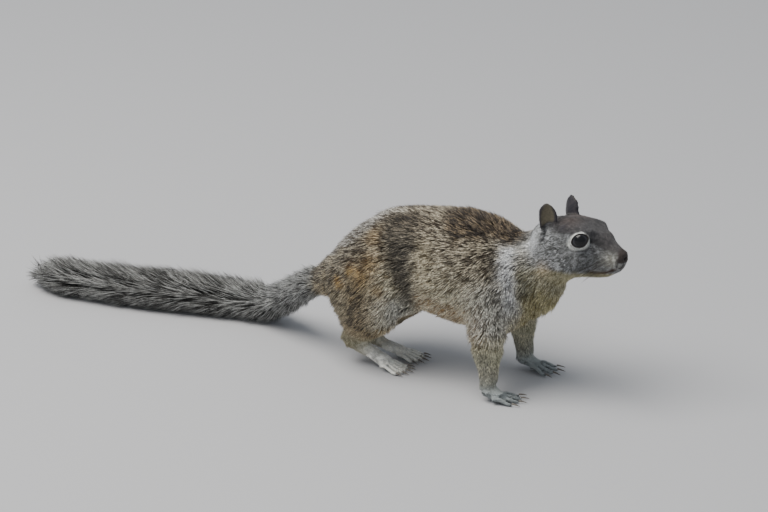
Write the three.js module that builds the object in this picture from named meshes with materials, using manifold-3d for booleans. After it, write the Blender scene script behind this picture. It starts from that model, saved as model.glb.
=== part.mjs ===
// A California ground squirrel at life size, standing on all fours: its back is arched, its head is
// stretched forward and its tail lies on the floor behind it. The solids are the animal's outline out to
// the tips of its coat. Millimetres, +Z up, the head towards +X and the animal's left towards +Y.
//
// The body is one smooth field, joined from tubes, limbs and ellipsoids. Each part of it is meshed from
// that field at a cell size of its own, and is then parted from its neighbours by thin cuts.
import * as THREE from "three";
import { mergeVertices } from "three/addons/utils/BufferGeometryUtils.js";
import Module from "manifold-3d";

const wasm = await Module();
wasm.setup();

// ---- Driving dimensions ----

const GAP = 0.3; // between neighbouring parts
const SLIVER = 0.25; // edges shorter than this are closed up
const LEFT = 1;
const RIGHT = -1;

// Trunk stations from the tail root to the breast: [x, y, height of the centre line, half width, half height].
const TRUNK = [
  [-97, 0, 45, 8, 8],
  [-88, 0, 49, 15, 13.5],
  [-75, 0, 55.5, 24, 18],
  [-58, 0, 64, 32, 26.5],
  [-36, 0, 71.5, 35, 32.6],
  [-18, 0, 74.5, 34, 33],
  [8, 0, 73.5, 32, 37.5],
  [32, 0, 69, 28, 34.2],
  [48, 0, 68.5, 22, 29],
  [56, 0, 68, 15, 19],
];
// Neck stations from the breast to the back of the head, in the same way.
const NECK = [
  [30, 0, 72, 24, 28],
  [46, 0, 76, 22.5, 23.2],
  [60, 0, 84.5, 19.5, 17.8],
  [73, 0, 93.5, 16, 14.5],
];
// Tail stations: it swings out to the left and lies along the floor.
const TAIL = [
  [-91, 0, 47, 9, 9],
  [-106, 4, 40.5, 10.5, 10.2],
  [-122, 13, 29, 12, 11],
  [-142, 24, 16, 14, 11.8],
  [-166, 28, 12, 16, 12.6],
  [-200, 24, 11.9, 17, 12.6],
  [-240, 17.5, 11.6, 17, 12.4],
  [-280, 14, 10.8, 15, 11.7],
  [-307, 15, 9.6, 10.5, 10],
  [-320, 17, 8.4, 5, 5],
];

// The head has a frame of its own at the middle of the skull, with X towards the nose.
const HEAD_AT = [80, 0, 100];
const HEAD_PITCH = THREE.MathUtils.degToRad(1);
const HEAD_ROLL = THREE.MathUtils.degToRad(-6); // the right side is held a little higher
const EYE_RADIUS = 6.3;
const EYE_AT = [9, 11.6, 6.4]; // forward, sideways and up in the head's frame
// Each ear turns on its own. It leans back towards its tip.
const EARS = {
  right: { side: RIGHT, at: [-10.6, 14.5, 6], height: 20.5, width: 12.4, splay: 8, turn: 66, lean: 1.6 },
  left: { side: LEFT, at: [-7.6, 15, 6], height: 20, width: 13.5, splay: 8, turn: 60, lean: 1.8 },
};
const EAR_THICKNESS = 1.8;

// Legs: joint points as [x, sideways from the midline, height, radius]. The digits turn by some degrees
// towards the midline.
const FORELEGS = {
  right: {
    side: RIGHT,
    leg: [
      [33, 18, 64, 16.5],
      [34.5, 26, 44, 12.8],
      [36.5, 29, 25, 8],
      [38.6, 31, 9, 5.6],
    ],
    foot: [
      [38.6, 31, 8, 5.3],
      [45.5, 30.5, 3.9, 4.8],
    ],
    turn: 26,
  },
  left: {
    side: LEFT,
    leg: [
      [33, 18, 64, 16.5],
      [32, 27, 44, 12.8],
      [33.5, 28.5, 25, 8],
      [35.2, 29, 9, 5.6],
    ],
    foot: [
      [35.2, 29, 8, 5.3],
      [43.5, 29, 3.9, 4.4],
    ],
    turn: 0,
  },
};
const HIND_LEGS = {
  right: {
    side: RIGHT,
    haunch: [-54, 20, 53, 24, 13, 25], // place, then half lengths
    leg: [
      [-38, 22, 46, 13.5],
      [-54, 18, 31, 11],
      [-66.5, 13, 18.5, 6.6],
    ],
    foot: [
      [-67, 13, 17, 5.8],
      [-53, 13, 11, 4.8],
      [-41, 13, 4.4, 4.7],
    ],
    turn: 3,
  },
  left: {
    side: LEFT,
    haunch: [-53, 20, 53, 24, 13, 25],
    leg: [
      [-36, 21, 46, 13.5],
      [-54, 16, 28, 10],
      [-67, 11.5, 14, 6],
    ],
    foot: [
      [-68, 11, 12, 5.2],
      [-54, 11, 6.4, 4.2],
      [-41, 11, 3.4, 4],
    ],
    turn: 3,
  },
};
const FORE_DIGITS = { count: 4, spread: 10.4, fan: 34, reach: 12.2, radius: 1.8, claw: 5.2 };
const HIND_DIGITS = { count: 5, spread: 10, fan: 30, reach: 12.7, radius: 1.8, claw: 4.6 };

// Where the body is parted: planes as a point and the way they face, and round cuts as [x, z, radius,
// distance from the midline].
const NAPE = { at: [63, 0, 87], faces: [0.85, 0, 0.53] };
const BREAST = { at: [46, 0, 77], faces: [0.8, 0, 0.6] };
const RUMP = { at: [-95, 0, 46], faces: [-0.92, 0.1, -0.38] };
const TAIL_CUTS = [
  { at: [-146, 25, 14], faces: [-0.98, 0.18, 0] },
  { at: [-238, 18, 12], faces: [-0.99, -0.12, 0] },
];
const SHOULDER_CUT = [33, 54, 24, 14];
const HAUNCH_CUT = [-54, 56, 29, 13];
const ELBOW_HEIGHT = 37;
const KNEE_HEIGHT = 34;
const FOOT_HEIGHT = 21;
const WRIST = { at: [37, 0, 11], faces: [0.35, 0, -0.94] };
const HOCK = { at: [-66, 0, 20], faces: [0.6, 0, -0.8] };

// ---- Fields: each takes a point and tells about how far outside the shape it lies ----

const vec = (x, y, z) => new THREE.Vector3(x, y, z);

function ellipsoid([x, y, z], [a, b, c]) {
  return (p) => {
    const u = (p.x - x) / a;
    const v = (p.y - y) / b;
    const w = (p.z - z) / c;
    const k = Math.hypot(u, v, w);
    return (k * (k - 1)) / Math.max(Math.hypot(u / a, v / b, w / c), 1e-9);
  };
}

// How far along the run from a to b the point p lies, from 0 to 1, and how far it is from that place.
function nearRun(p, a, b) {
  const [dx, dy, dz] = [b.x - a.x, b.y - a.y, b.z - a.z];
  const along = ((p.x - a.x) * dx + (p.y - a.y) * dy + (p.z - a.z) * dz) / (dx * dx + dy * dy + dz * dz);
  const t = Math.min(1, Math.max(0, along));
  return [t, Math.hypot(p.x - a.x - t * dx, p.y - a.y - t * dy, p.z - a.z - t * dz)];
}

// Round sections along straight runs between points [x, y, z, radius].
function limb(points) {
  const at = points.map(([x, y, z]) => vec(x, y, z));
  return (p) => {
    let nearest = Infinity;
    for (let i = 1; i < at.length; i++) {
      const [t, gap] = nearRun(p, at[i - 1], at[i]);
      nearest = Math.min(nearest, gap - points[i - 1][3] * (1 - t) - points[i][3] * t);
    }
    return nearest;
  };
}

// Oval sections on a smooth curve through stations [x, y, z, half width, half height].
function tube(stations, steps = 5) {
  const line = new THREE.CatmullRomCurve3(stations.map(([x, y, z]) => vec(x, y, z)));
  const sizes = new THREE.CatmullRomCurve3(stations.map(([, , , w, h]) => vec(w, h, 0)));
  const count = steps * (stations.length - 1);
  const rings = [];
  for (let i = 0; i <= count; i++) {
    const ahead = line.getTangent(i / count);
    const side = vec(0, 0, 1).cross(ahead).normalize();
    const high = ahead.clone().cross(side);
    rings.push({ at: line.getPoint(i / count), size: sizes.getPoint(i / count), ahead, side, high });
  }
  return (p) => {
    let [best, along, nearest] = [1, 0, Infinity];
    for (let i = 1; i < rings.length; i++) {
      const [t, gap] = nearRun(p, rings[i - 1].at, rings[i].at);
      if (gap < nearest) [best, along, nearest] = [i, t, gap];
    }
    const [a, b] = [rings[best - 1], rings[best]];
    const blend = (name) => a[name].clone().lerp(b[name], along);
    const off = p.clone().sub(blend("at"));
    const { x: w, y: h } = blend("size");
    const end = Math.min(w, h);
    const [u, v, e] = [off.dot(blend("side")) / w, off.dot(blend("high")) / h, off.dot(a.ahead) / end];
    const k = Math.hypot(u, v, e);
    return (k * (k - 1)) / Math.max(Math.hypot(u / w, v / h, e / end), 1e-9);
  };
}

// Fields joined with a fillet about as wide as k, and a field hollowed by another in the same way.
const join = (k, ...fields) => (p) =>
  fields
    .map((field) => field(p))
    .reduce((a, b) => Math.min(a, b) - (Math.max(0, k - Math.abs(a - b)) ** 2 / k) * 0.25);
const hollow = (k, field, tool) => {
  const rest = join(k, (p) => -field(p), tool);
  return (p) => -rest(p);
};
const grown = (field, by) => (p) => field(p) - by;

// ---- The body's field ----

const headPlace = new THREE.Matrix4()
  .makeTranslation(...HEAD_AT)
  .multiply(new THREE.Matrix4().makeRotationY(HEAD_PITCH))
  .multiply(new THREE.Matrix4().makeRotationX(HEAD_ROLL));
const intoHead = headPlace.clone().invert();

function headField() {
  const pair = (make) => [make(LEFT), make(RIGHT)];
  const skull = ellipsoid([-4, 0, 1.6], [23, 17.5, 14.6]);
  const face = limb([
    [4, 0, 3.4, 12.3],
    [18, 0, 1, 9.8],
    [30, 0, -3.2, 6.2],
  ]);
  const jaw = limb([
    [-3, 0, -9, 11.5],
    [12, 0, -12, 7.6],
    [26.5, 0, -12, 4],
  ]);
  const cheeks = pair((s) => ellipsoid([0, s * 10.5, -7.5], [15, 8.5, 10]));
  const temples = pair((s) => ellipsoid([-1, s * 12, 4], [12, 5.5, 9]));
  const brows = pair((s) => ellipsoid([10, s * 9.6, 11.6], [9, 4.4, 4.2]));
  const lips = pair((s) => ellipsoid([25.5, s * 4.2, -7], [8, 4.4, 5]));
  const nose = ellipsoid([31.8, 0, -2.6], [4.2, 4.2, 4]);
  const flesh = join(5, join(8, skull, face, jaw), ...cheeks, ...temples, ...brows);
  const whole = join(2.5, flesh, ...lips, nose);
  const [left, right] = pair((s) => ellipsoid([EYE_AT[0] + 4, s * (EYE_AT[1] + 9), EYE_AT[2] - 1], [8, 4.6, 6]));
  const eyed = hollow(4, hollow(4, whole, left), right);
  return (p) => eyed(p.clone().applyMatrix4(intoHead));
}

const sideways = (side, points) => points.map(([x, y, z, r]) => [x, side * y, z, r]);

function legField({ side, haunch, leg, foot }) {
  const limbs = join(3, limb(sideways(side, leg)), limb(sideways(side, foot)));
  if (!haunch) return limbs;
  const [x, y, z, ...size] = haunch;
  return join(9, ellipsoid([x, side * y, z], size), limbs);
}

// The legs of one side join the torso, and not those of the other side.
const torso = join(9, join(10, join(14, tube(TRUNK), tube(NECK)), headField()), tube(TAIL));
const legs = [RIGHT, LEFT].map((side) => [FORELEGS, HIND_LEGS].map((set) => legField(side < 0 ? set.right : set.left)));
const body = (p) => {
  const core = torso(p);
  return Math.min(...legs.map(([fore, hind]) => join(8, () => core, fore, hind)(p)));
};

// ---- Meshing: the surface of a field inside a box, its corners drawn onto the surface and evened out ----

function slope(field, p) {
  const d = 0.02;
  const at = (x, y, z) => field(vec(p.x + x, p.y + y, p.z + z));
  return vec(at(d, 0, 0) - at(-d, 0, 0), at(0, d, 0) - at(0, -d, 0), at(0, 0, d) - at(0, 0, -d)).divideScalar(2 * d);
}

function settle(field, p) {
  for (let n = 0; n < 2; n++) {
    const s = slope(field, p);
    p.addScaledVector(s, -field(p) / Math.max(s.lengthSq(), 0.05));
  }
}

// Points and quads of a grid of cells where the field changes sign.
function crossings(boxed, [low, high], cell) {
  const [nx, ny, nz] = low.map((v, i) => Math.ceil((high[i] - v) / cell) + 1);
  const index = (i, j, k) => i + nx * (j + ny * k);
  const place = (i, j, k) => vec(low[0] + i * cell, low[1] + j * cell, low[2] + k * cell);
  const values = new Float64Array(nx * ny * nz);
  for (let k = 0; k < nz; k++)
    for (let j = 0; j < ny; j++) for (let i = 0; i < nx; i++) values[index(i, j, k)] = boxed(place(i, j, k));

  const corners = [];
  for (let n = 0; n < 8; n++) corners.push([n & 1, (n >> 1) & 1, n >> 2]);
  const points = [];
  const pointOf = new Map();
  for (let k = 0; k < nz - 1; k++)
    for (let j = 0; j < ny - 1; j++)
      for (let i = 0; i < nx - 1; i++) {
        const sum = vec(0, 0, 0);
        let hits = 0;
        for (let n = 0; n < 8; n++)
          for (const bit of [1, 2, 4]) {
            if (n & bit) continue;
            const [a, b] = [corners[n], corners[n | bit]];
            const va = values[index(i + a[0], j + a[1], k + a[2])];
            const vb = values[index(i + b[0], j + b[1], k + b[2])];
            if (va < 0 === vb < 0) continue;
            const t = va / (va - vb);
            sum.add(place(i + a[0], j + a[1], k + a[2]).lerp(place(i + b[0], j + b[1], k + b[2]), t));
            hits++;
          }
        if (!hits) continue;
        pointOf.set(index(i, j, k), points.length);
        points.push(sum.divideScalar(hits));
      }

  const quads = [];
  const steps = [1, nx, nx * ny];
  for (let k = 0; k < nz; k++)
    for (let j = 0; j < ny; j++)
      for (let i = 0; i < nx; i++)
        for (let axis = 0; axis < 3; axis++) {
          const here = index(i, j, k);
          if ([i, j, k][axis] + 1 >= [nx, ny, nz][axis]) continue;
          const [va, vb] = [values[here], values[here + steps[axis]]];
          if (va < 0 === vb < 0) continue;
          const [u, v] = [steps[(axis + 1) % 3], steps[(axis + 2) % 3]];
          const quad = [here - u - v, here - v, here, here - u].map((cellAt) => pointOf.get(cellAt));
          quads.push(va < 0 ? quad : quad.reverse());
        }
  return { points, quads };
}

// Whether two sheets of quads share an edge.
function pinched(quads) {
  const edges = quads.flatMap((quad) => quad.map((a, n) => `${a} ${quad[(n + 1) % 4]}`));
  return new Set(edges).size < edges.length;
}

function surface(field, [low, high], cell) {
  const middle = vec(...low).add(vec(...high)).multiplyScalar(0.5);
  const half = vec(...high).sub(middle).subScalar(cell * 0.5);
  const boxed = (p) =>
    Math.max(
      field(p),
      Math.abs(p.x - middle.x) - half.x,
      Math.abs(p.y - middle.y) - half.y,
      Math.abs(p.z - middle.z) - half.z,
    );
  // The grid is moved along until no two sheets of the surface share an edge.
  let sheet;
  for (let move = 0; !sheet || pinched(sheet.quads); move += cell / 7)
    sheet = crossings(boxed, [low.map((v) => v - move), high], cell);
  const { points, quads } = sheet;

  for (const p of points) settle(boxed, p);
  for (let round = 0; round < 3; round++) {
    const sums = points.map(() => vec(0, 0, 0));
    const counts = points.map(() => 0);
    for (const quad of quads)
      quad.forEach((a, n) => {
        sums[a].add(points[quad[(n + 1) % 4]]);
        counts[a]++;
      });
    points.forEach((p, n) => {
      p.lerp(sums[n].divideScalar(counts[n]), 0.5);
      settle(boxed, p);
    });
  }
  const triangles = quads.flatMap(([a, b, c, d]) =>
    points[a].distanceTo(points[c]) < points[b].distanceTo(points[d]) ? [a, b, c, a, c, d] : [a, b, d, b, c, d],
  );
  const geometry = new THREE.BufferGeometry().setFromPoints(points);
  geometry.setIndex(triangles);
  return solid(geometry);
}

// ---- Solids ----

function solid(geometry) {
  const bare = geometry.clone();
  bare.deleteAttribute("normal");
  bare.deleteAttribute("uv");
  const merged = mergeVertices(bare, 1e-4);
  const vertProperties = new Float32Array(merged.attributes.position.array);
  const triVerts = new Uint32Array(merged.index.array);
  return new wasm.Manifold(new wasm.Mesh({ numProp: 3, vertProperties, triVerts }));
}

// Everything on the side of a plane that it faces, short of it by an inset.
function beyond({ at, faces }, inset) {
  const way = vec(...faces).normalize();
  const box = new THREE.BoxGeometry(900, 900, 900).translate(0, 0, 450 + inset);
  box.applyQuaternion(new THREE.Quaternion().setFromUnitVectors(vec(0, 0, 1), way));
  return solid(box.translate(...at));
}
const behind = ({ at, faces }, inset) => beyond({ at, faces: faces.map((v) => -v) }, inset);

// A round cut through one side of the body, and a block under a height on one side, each grown by some amount.
function drum([x, z, radius, from], side, grow) {
  const cylinder = new THREE.CylinderGeometry(radius + grow, radius + grow, 60, 36);
  return solid(cylinder.translate(x, side * (30 + from - grow), z));
}

function block([x0, x1], from, side, height, grow) {
  const box = new THREE.BoxGeometry(x1 - x0 + 2 * grow, 60, 100);
  return solid(box.translate((x0 + x1) / 2, side * (30 + from - grow), height - 50 + grow));
}

const above = (height) => beyond({ at: [0, 0, height], faces: [0, 0, 1] }, 0);
const cut = (shape, ...keep) => keep.reduce((left, region) => left.intersect(region), shape);
const without = (shape, ...tools) => tools.reduce((left, tool) => left.subtract(tool), shape);

// A closed skin over rings of points, each ring with as many points as the last.
function loft(rings) {
  const n = rings[0].length;
  const points = rings.flat();
  const triangles = [];
  for (let r = 1; r < rings.length; r++)
    for (let i = 0; i < n; i++) {
      const [a, b] = [(r - 1) * n + i, (r - 1) * n + ((i + 1) % n)];
      triangles.push(a, b, b + n, a, b + n, a + n);
    }
  const last = points.length - n;
  for (let i = 1; i < n - 1; i++) triangles.push(0, i + 1, i, last, last + i, last + i + 1);
  const geometry = new THREE.BufferGeometry().setFromPoints(points);
  geometry.setIndex(triangles);
  return geometry;
}

// A tapered round bar along a smooth curve through points [x, y, z, radius].
function bar(points, sides, steps, squash = 1) {
  const line = new THREE.CatmullRomCurve3(points.map(([x, y, z]) => vec(x, y, z)));
  const sizes = new THREE.CatmullRomCurve3(points.map(([, , , r]) => vec(r, 0, 0)));
  const rings = [];
  for (let i = 0; i <= steps; i++) {
    const ahead = line.getTangent(i / steps);
    const side = vec(0, 0, 1).cross(ahead).normalize();
    const high = ahead.clone().cross(side);
    const radius = sizes.getPoint(i / steps).x;
    const ring = [];
    for (let n = 0; n < sides; n++) {
      const turn = (2 * Math.PI * n) / sides;
      const off = side.clone().multiplyScalar(Math.cos(turn) * radius * squash);
      ring.push(line.getPoint(i / steps).add(off).addScaledVector(high, Math.sin(turn) * radius));
    }
    rings.push(ring);
  }
  return loft(rings);
}

// An ear: a cupped leaf, opening forwards and outwards, with its foot in the head.
function ear({ side, at, height, width, splay, turn, lean }) {
  const rows = 8;
  const across = 5;
  const spread = (t) => (width / 2) * (0.62 + 0.75 * t - 0.35 * t * t) * Math.sqrt(Math.max(1 - t ** 5, 0.04));
  const rings = [];
  for (let r = 0; r <= rows; r++) {
    const t = -0.25 + 1.25 * (1 - (1 - r / rows) ** 1.5);
    const half = spread(Math.max(t, 0));
    const cup = 0.4 * (1 - Math.max(t, 0) ** 2);
    const thick = EAR_THICKNESS * (1.25 - 0.6 * Math.max(t, 0));
    const ring = [];
    for (const [from, to, off] of [
      [-1, 1, 0],
      [1, -1, 1],
    ])
      for (let n = 0; n <= across; n++) {
        const u = from + ((to - from) * n) / across;
        const inset = off ? 0.9 : 1;
        const bow = cup * half * (1 - u * u);
        const depth = off ? -thick * (1 - 0.25 * u * u) : 0.2 * (1 - u * u);
        const back = side * lean * Math.max(t, 0) ** 2;
        ring.push(vec(depth - bow, u * half * inset + back, t * height - 1.2 * u * u * t));
      }
    rings.push(ring);
  }
  const place = new THREE.Matrix4()
    .makeTranslation(at[0], side * at[1], at[2])
    .multiply(new THREE.Matrix4().makeRotationX(-side * THREE.MathUtils.degToRad(splay)))
    .multiply(new THREE.Matrix4().makeRotationZ(side * THREE.MathUtils.degToRad(turn)))
    .multiply(new THREE.Matrix4().makeRotationY(THREE.MathUtils.degToRad(-6)));
  return solid(loft(rings).applyMatrix4(place).applyMatrix4(headPlace));
}

const eyeBall = (side, grow) => {
  const ball = new THREE.SphereGeometry(EYE_RADIUS + grow, 12, 9);
  return solid(ball.translate(EYE_AT[0], side * EYE_AT[1], EYE_AT[2]).applyMatrix4(headPlace));
};

// The digits of a foot, fanned about its turn, and a claw ahead of each.
function digits({ side, foot, turn }, { count, spread, fan, reach, radius, claw }) {
  const [x, y, z] = foot[foot.length - 1];
  const toes = [];
  for (let n = 0; n < count; n++) {
    const across = (n / (count - 1)) * 2 - 1; // -1 next to the midline, 1 outermost
    const length = reach * (1 - 0.22 * across * across);
    const angle = THREE.MathUtils.degToRad((across * fan) / 2 - turn) * side;
    const [ahead, out] = [Math.cos(angle), Math.sin(angle)];
    const root = [x - 1, side * (y + (across * spread) / 2)];
    const point = (along, up, r) => [root[0] + along * ahead, root[1] + along * out, up, r];
    const finger = [
      point(-2, z - 0.5, radius * 0.95),
      point(length * 0.35, z - 0.2, radius),
      point(length * 0.7, radius + 0.4, radius * 0.92),
      point(length, radius * 0.7, radius * 0.9),
      point(length + radius * 0.8, radius * 0.9, radius * 0.45),
    ];
    const tip = length + radius * 0.8 + GAP;
    const nail = [
      point(tip, radius * 0.95, radius * 0.42),
      point(tip + claw * 0.5, radius * 1.05, radius * 0.34),
      point(tip + claw, 0.6, 0.28),
    ];
    toes.push({ finger: solid(bar(finger, 6, 5)), nail: solid(bar(nail, 4, 3, 0.8)) });
  }
  return toes;
}

// ---- The parts ----

const COLOURS = {
  coat: ["#8d7a5f", 0.95],
  bare: ["#a08468", 0.85],
  eye: ["#140e0b", 0.1],
  claw: ["#3a2c22", 0.5],
};
const group = new THREE.Group();

// Draws together the ends of very short edges, wherever the surface stays closed and simple.
function tidied(points, triangles) {
  const around = points.map(() => new Set());
  for (const [a, b, c] of triangles) {
    around[a].add(b).add(c);
    around[b].add(a).add(c);
    around[c].add(a).add(b);
  }
  const touched = new Set();
  const becomes = new Map();
  for (const [a, b, c] of triangles)
    for (const [p, q] of [
      [a, b],
      [b, c],
      [c, a],
    ]) {
      if (points[p].distanceTo(points[q]) > SLIVER) continue;
      if ([...around[p]].filter((n) => around[q].has(n)).length !== 2) continue;
      const near = [...around[p], ...around[q]];
      if (near.some((n) => touched.has(n))) continue;
      near.forEach((n) => touched.add(n));
      becomes.set(q, p);
    }
  if (!becomes.size) return triangles;
  const moved = triangles
    .map((triangle) => triangle.map((n) => becomes.get(n) ?? n))
    .filter(([a, b, c]) => a !== b && b !== c && c !== a);
  // A flap folded flat is two triangles on the same corners: both go.
  const key = (triangle) => [...triangle].sort().join();
  const times = new Map();
  for (const triangle of moved) times.set(key(triangle), (times.get(key(triangle)) ?? 0) + 1);
  return tidied(points, moved.filter((triangle) => times.get(key(triangle)) === 1));
}

function add(name, shape, colour) {
  const { vertProperties, triVerts } = shape.getMesh();
  const raw = new THREE.BufferGeometry();
  raw.setAttribute("position", new THREE.BufferAttribute(new Float32Array(vertProperties), 3));
  raw.setIndex(new THREE.BufferAttribute(new Uint32Array(triVerts), 1));
  const merged = mergeVertices(raw, 1e-3);
  const at = merged.attributes.position;
  const points = Array.from({ length: at.count }, (_, n) => vec(at.getX(n), at.getY(n), at.getZ(n)));
  const triangles = [];
  for (let i = 0; i < merged.index.count; i += 3) triangles.push(Array.from(merged.index.array.slice(i, i + 3)));
  const geometry = new THREE.BufferGeometry().setFromPoints(points);
  geometry.setIndex(tidied(points, triangles).flat());
  geometry.computeVertexNormals();
  const [color, roughness] = COLOURS[colour];
  const mesh = new THREE.Mesh(geometry, new THREE.MeshStandardMaterial({ color, roughness, metalness: 0 }));
  mesh.name = name;
  group.add(mesh);
}

const floor = above(0);
const half = GAP / 2;
const sides = [LEFT, RIGHT];
const foreBlock = (side, grow) => block([17.5, 58.5], 9, side, ELBOW_HEIGHT, grow);
const hindBlock = (side, grow) => block([-92, -14], 0, side, KNEE_HEIGHT, grow);
const footRegion = (side, grow) => cut(block([-92, -14], 0, side, FOOT_HEIGHT, grow), beyond(HOCK, -grow));
const shoulderDrum = (side, grow) => drum(SHOULDER_CUT, side, grow);
const haunchDrum = (side, grow) => drum(HAUNCH_CUT, side, grow);
const allCuts = (make, grow) => sides.map((side) => make(side, grow));
const legCuts = [shoulderDrum, haunchDrum, foreBlock, hindBlock].flatMap((make) => allCuts(make, half));

// Head, ears and eyes.
const headBox = [[40, -30, 66], [122, 30, 128]];
const headShape = surface(body, headBox, 4.6);
const headShell = surface(grown(body, GAP), headBox, 4.6);
add("head", without(cut(headShape, beyond(NAPE, half)), ...sides.map((side) => eyeBall(side, GAP))), "coat");
for (const side of sides) {
  const name = side === LEFT ? "left" : "right";
  add(`ear_${name}`, without(ear(EARS[name]), headShell), "coat");
  add(`eye_${name}`, eyeBall(side, 0), "eye");
}

// Neck, trunk and tail.
const neckShape = surface(body, [[6, -36, 34], [92, 36, 124]], 9.2);
add("neck", without(cut(neckShape, behind(NAPE, half), beyond(BREAST, half)), ...legCuts), "coat");
const trunkShape = surface(body, [[-122, -46, 26], [82, 46, 124]], 12.7);
const trunk = cut(trunkShape, behind(BREAST, half), behind(RUMP, half));
add("trunk", without(trunk, ...legCuts), "coat");
const tailShape = surface(body, [[-340, -36, -10], [-76, 56, 84]], 8.8);
const tail = cut(tailShape, floor, beyond(RUMP, half));
add("tail_base", cut(tail, behind(TAIL_CUTS[0], half)), "coat");
add("tail_middle", cut(tail, beyond(TAIL_CUTS[0], half), behind(TAIL_CUTS[1], half)), "coat");
add("tail_tip", cut(tail, beyond(TAIL_CUTS[1], half)), "coat");

// Legs, feet and claws.
for (const [name, leg] of Object.entries(FORELEGS)) {
  const { side } = leg;
  const span = (from, to) => [Math.min(side * from, side * to), Math.max(side * from, side * to)];
  const [y0, y1] = span(6, 46);
  const shoulder = surface(body, [[4, y0, 30], [62, y1, 84]], 8);
  add(`upper_arm_${name}`, without(cut(shoulder, shoulderDrum(side, -half)), foreBlock(side, half)), "coat");
  const forearm = surface(body, [[14, y0, 4], [62, y1, 46]], 4.8);
  add(`forearm_${name}`, cut(forearm, foreBlock(side, -half), behind(WRIST, half)), "coat");
  const toes = digits(leg, FORE_DIGITS);
  const palm = cut(surface(body, [[24, y0, -3], [62, y1, 20]], 4.2), foreBlock(side, -half), beyond(WRIST, half));
  add(`fore_foot_${name}`, cut(toes.reduce((all, { finger }) => all.add(finger), palm), floor), "bare");
  toes.forEach(({ nail }, n) => add(`claw_fore_${name}_${n + 1}`, cut(nail, floor), "claw"));
}
for (const [name, leg] of Object.entries(HIND_LEGS)) {
  const { side } = leg;
  const span = (from, to) => [Math.min(side * from, side * to), Math.max(side * from, side * to)];
  const [y0, y1] = span(6, 46);
  const haunch = surface(body, [[-92, y0, 22], [-14, y1, 92]], 9);
  add(`thigh_${name}`, without(cut(haunch, haunchDrum(side, -half)), hindBlock(side, half)), "coat");
  const [z0, z1] = span(-4, 44);
  const shank = surface(body, [[-90, z0, 4], [-16, z1, 46]], 6);
  add(`shank_${name}`, without(cut(shank, hindBlock(side, -half)), footRegion(side, half)), "coat");
  const toes = digits(leg, HIND_DIGITS);
  const sole = cut(surface(body, [[-90, z0, -3], [-16, z1, 28]], 4.6), footRegion(side, -half));
  add(`hind_foot_${name}`, cut(toes.reduce((all, { finger }) => all.add(finger), sole), floor), "bare");
  toes.forEach(({ nail }, n) => add(`claw_hind_${name}_${n + 1}`, cut(nail, floor), "claw"));
}

// The model stands with the middle of its bounding box over the origin.
const bounds = new THREE.Box3().setFromObject(group);
const centre = bounds.getCenter(vec(0, 0, 0));
for (const mesh of group.children) mesh.geometry.translate(-centre.x, -centre.y, -bounds.min.z);

export default group;
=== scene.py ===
"""A ground squirrel on all fours: one skin over its whole body, under a coat of mesh tufts."""

import math

import bmesh
import bpy
import numpy as np
from mathutils import Matrix, Vector


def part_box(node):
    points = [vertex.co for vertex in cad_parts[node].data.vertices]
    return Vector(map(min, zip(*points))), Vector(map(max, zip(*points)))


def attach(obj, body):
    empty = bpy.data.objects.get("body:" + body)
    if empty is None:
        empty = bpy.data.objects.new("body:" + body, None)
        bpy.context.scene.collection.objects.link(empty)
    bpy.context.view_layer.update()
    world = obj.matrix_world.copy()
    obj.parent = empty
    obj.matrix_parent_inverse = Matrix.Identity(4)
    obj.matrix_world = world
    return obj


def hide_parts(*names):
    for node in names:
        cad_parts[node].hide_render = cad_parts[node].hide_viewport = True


bl_info = {
    "name": "Ground squirrel",
    "version": (1, 0, 0),
    "blender": (4, 5, 0),
    "location": "View3D > Sidebar > Squirrel",
    "description": "Skin, coat, eyes and claws of a standing ground squirrel",
    "category": "Object",
}

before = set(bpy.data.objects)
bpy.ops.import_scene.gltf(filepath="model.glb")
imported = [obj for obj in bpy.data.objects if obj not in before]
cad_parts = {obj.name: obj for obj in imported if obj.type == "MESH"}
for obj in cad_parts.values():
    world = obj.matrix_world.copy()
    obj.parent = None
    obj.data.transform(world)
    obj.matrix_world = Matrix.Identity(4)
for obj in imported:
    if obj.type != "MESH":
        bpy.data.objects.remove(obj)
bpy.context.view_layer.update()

# The animal's own frame is in millimetres: X to the head, Y to its left, Z up from the floor.
HEAD_AT = np.array([80.0, 0.0, 100.0])
HEAD_PITCH = math.radians(1)
HEAD_ROLL = math.radians(-6)
EYE_AT = np.array([9.0, 11.6, 6.4])  # forward, sideways and up in the head's frame
HEAD_TURN = np.array(Matrix.Rotation(HEAD_PITCH, 3, "Y") @ Matrix.Rotation(HEAD_ROLL, 3, "X"))
TAIL_LINE = np.array(
    [
        [-84, 0, 49],
        [-106, 4, 40.5],
        [-122, 13, 29],
        [-142, 24, 16],
        [-166, 28, 12],
        [-200, 24, 11.9],
        [-240, 17.5, 11.6],
        [-280, 14, 10.8],
        [-307, 15, 9.6],
        [-322, 17, 8.4],
    ],
    float,
)


def middle_of(node):
    low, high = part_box(node)
    return np.array((low + high) / 2) * 1000


def animal_origin():
    """Where the animal's own frame has its origin, in the row frame, in millimetres."""
    between_eyes = (middle_of("eye_left") + middle_of("eye_right")) / 2
    place = HEAD_AT + HEAD_TURN @ (EYE_AT * [1, 0, 1])
    return (between_eyes - place) * [1, 1, 0]


ORIGIN = animal_origin()


# ---- Numbers on arrays of points ----


def rise(x, low, high):
    """0 below low, 1 above high, smooth between."""
    t = np.clip((x - low) / (high - low), 0, 1)
    return t * t * (3 - 2 * t)


def fall(x, low, high):
    """1 below low, 0 above high, eased between."""
    return 1 - rise(x, low, high)


def bell(x, middle, width):
    """1 in the middle, falling away on both sides over a width."""
    return np.exp(-(((x - middle) / width) ** 2))


def spot(p, place, width, stretch=1):
    """1 at a place, falling away all round it over a width."""
    return bell(np.linalg.norm((p - place) * stretch, axis=1), 0, width)


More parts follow.
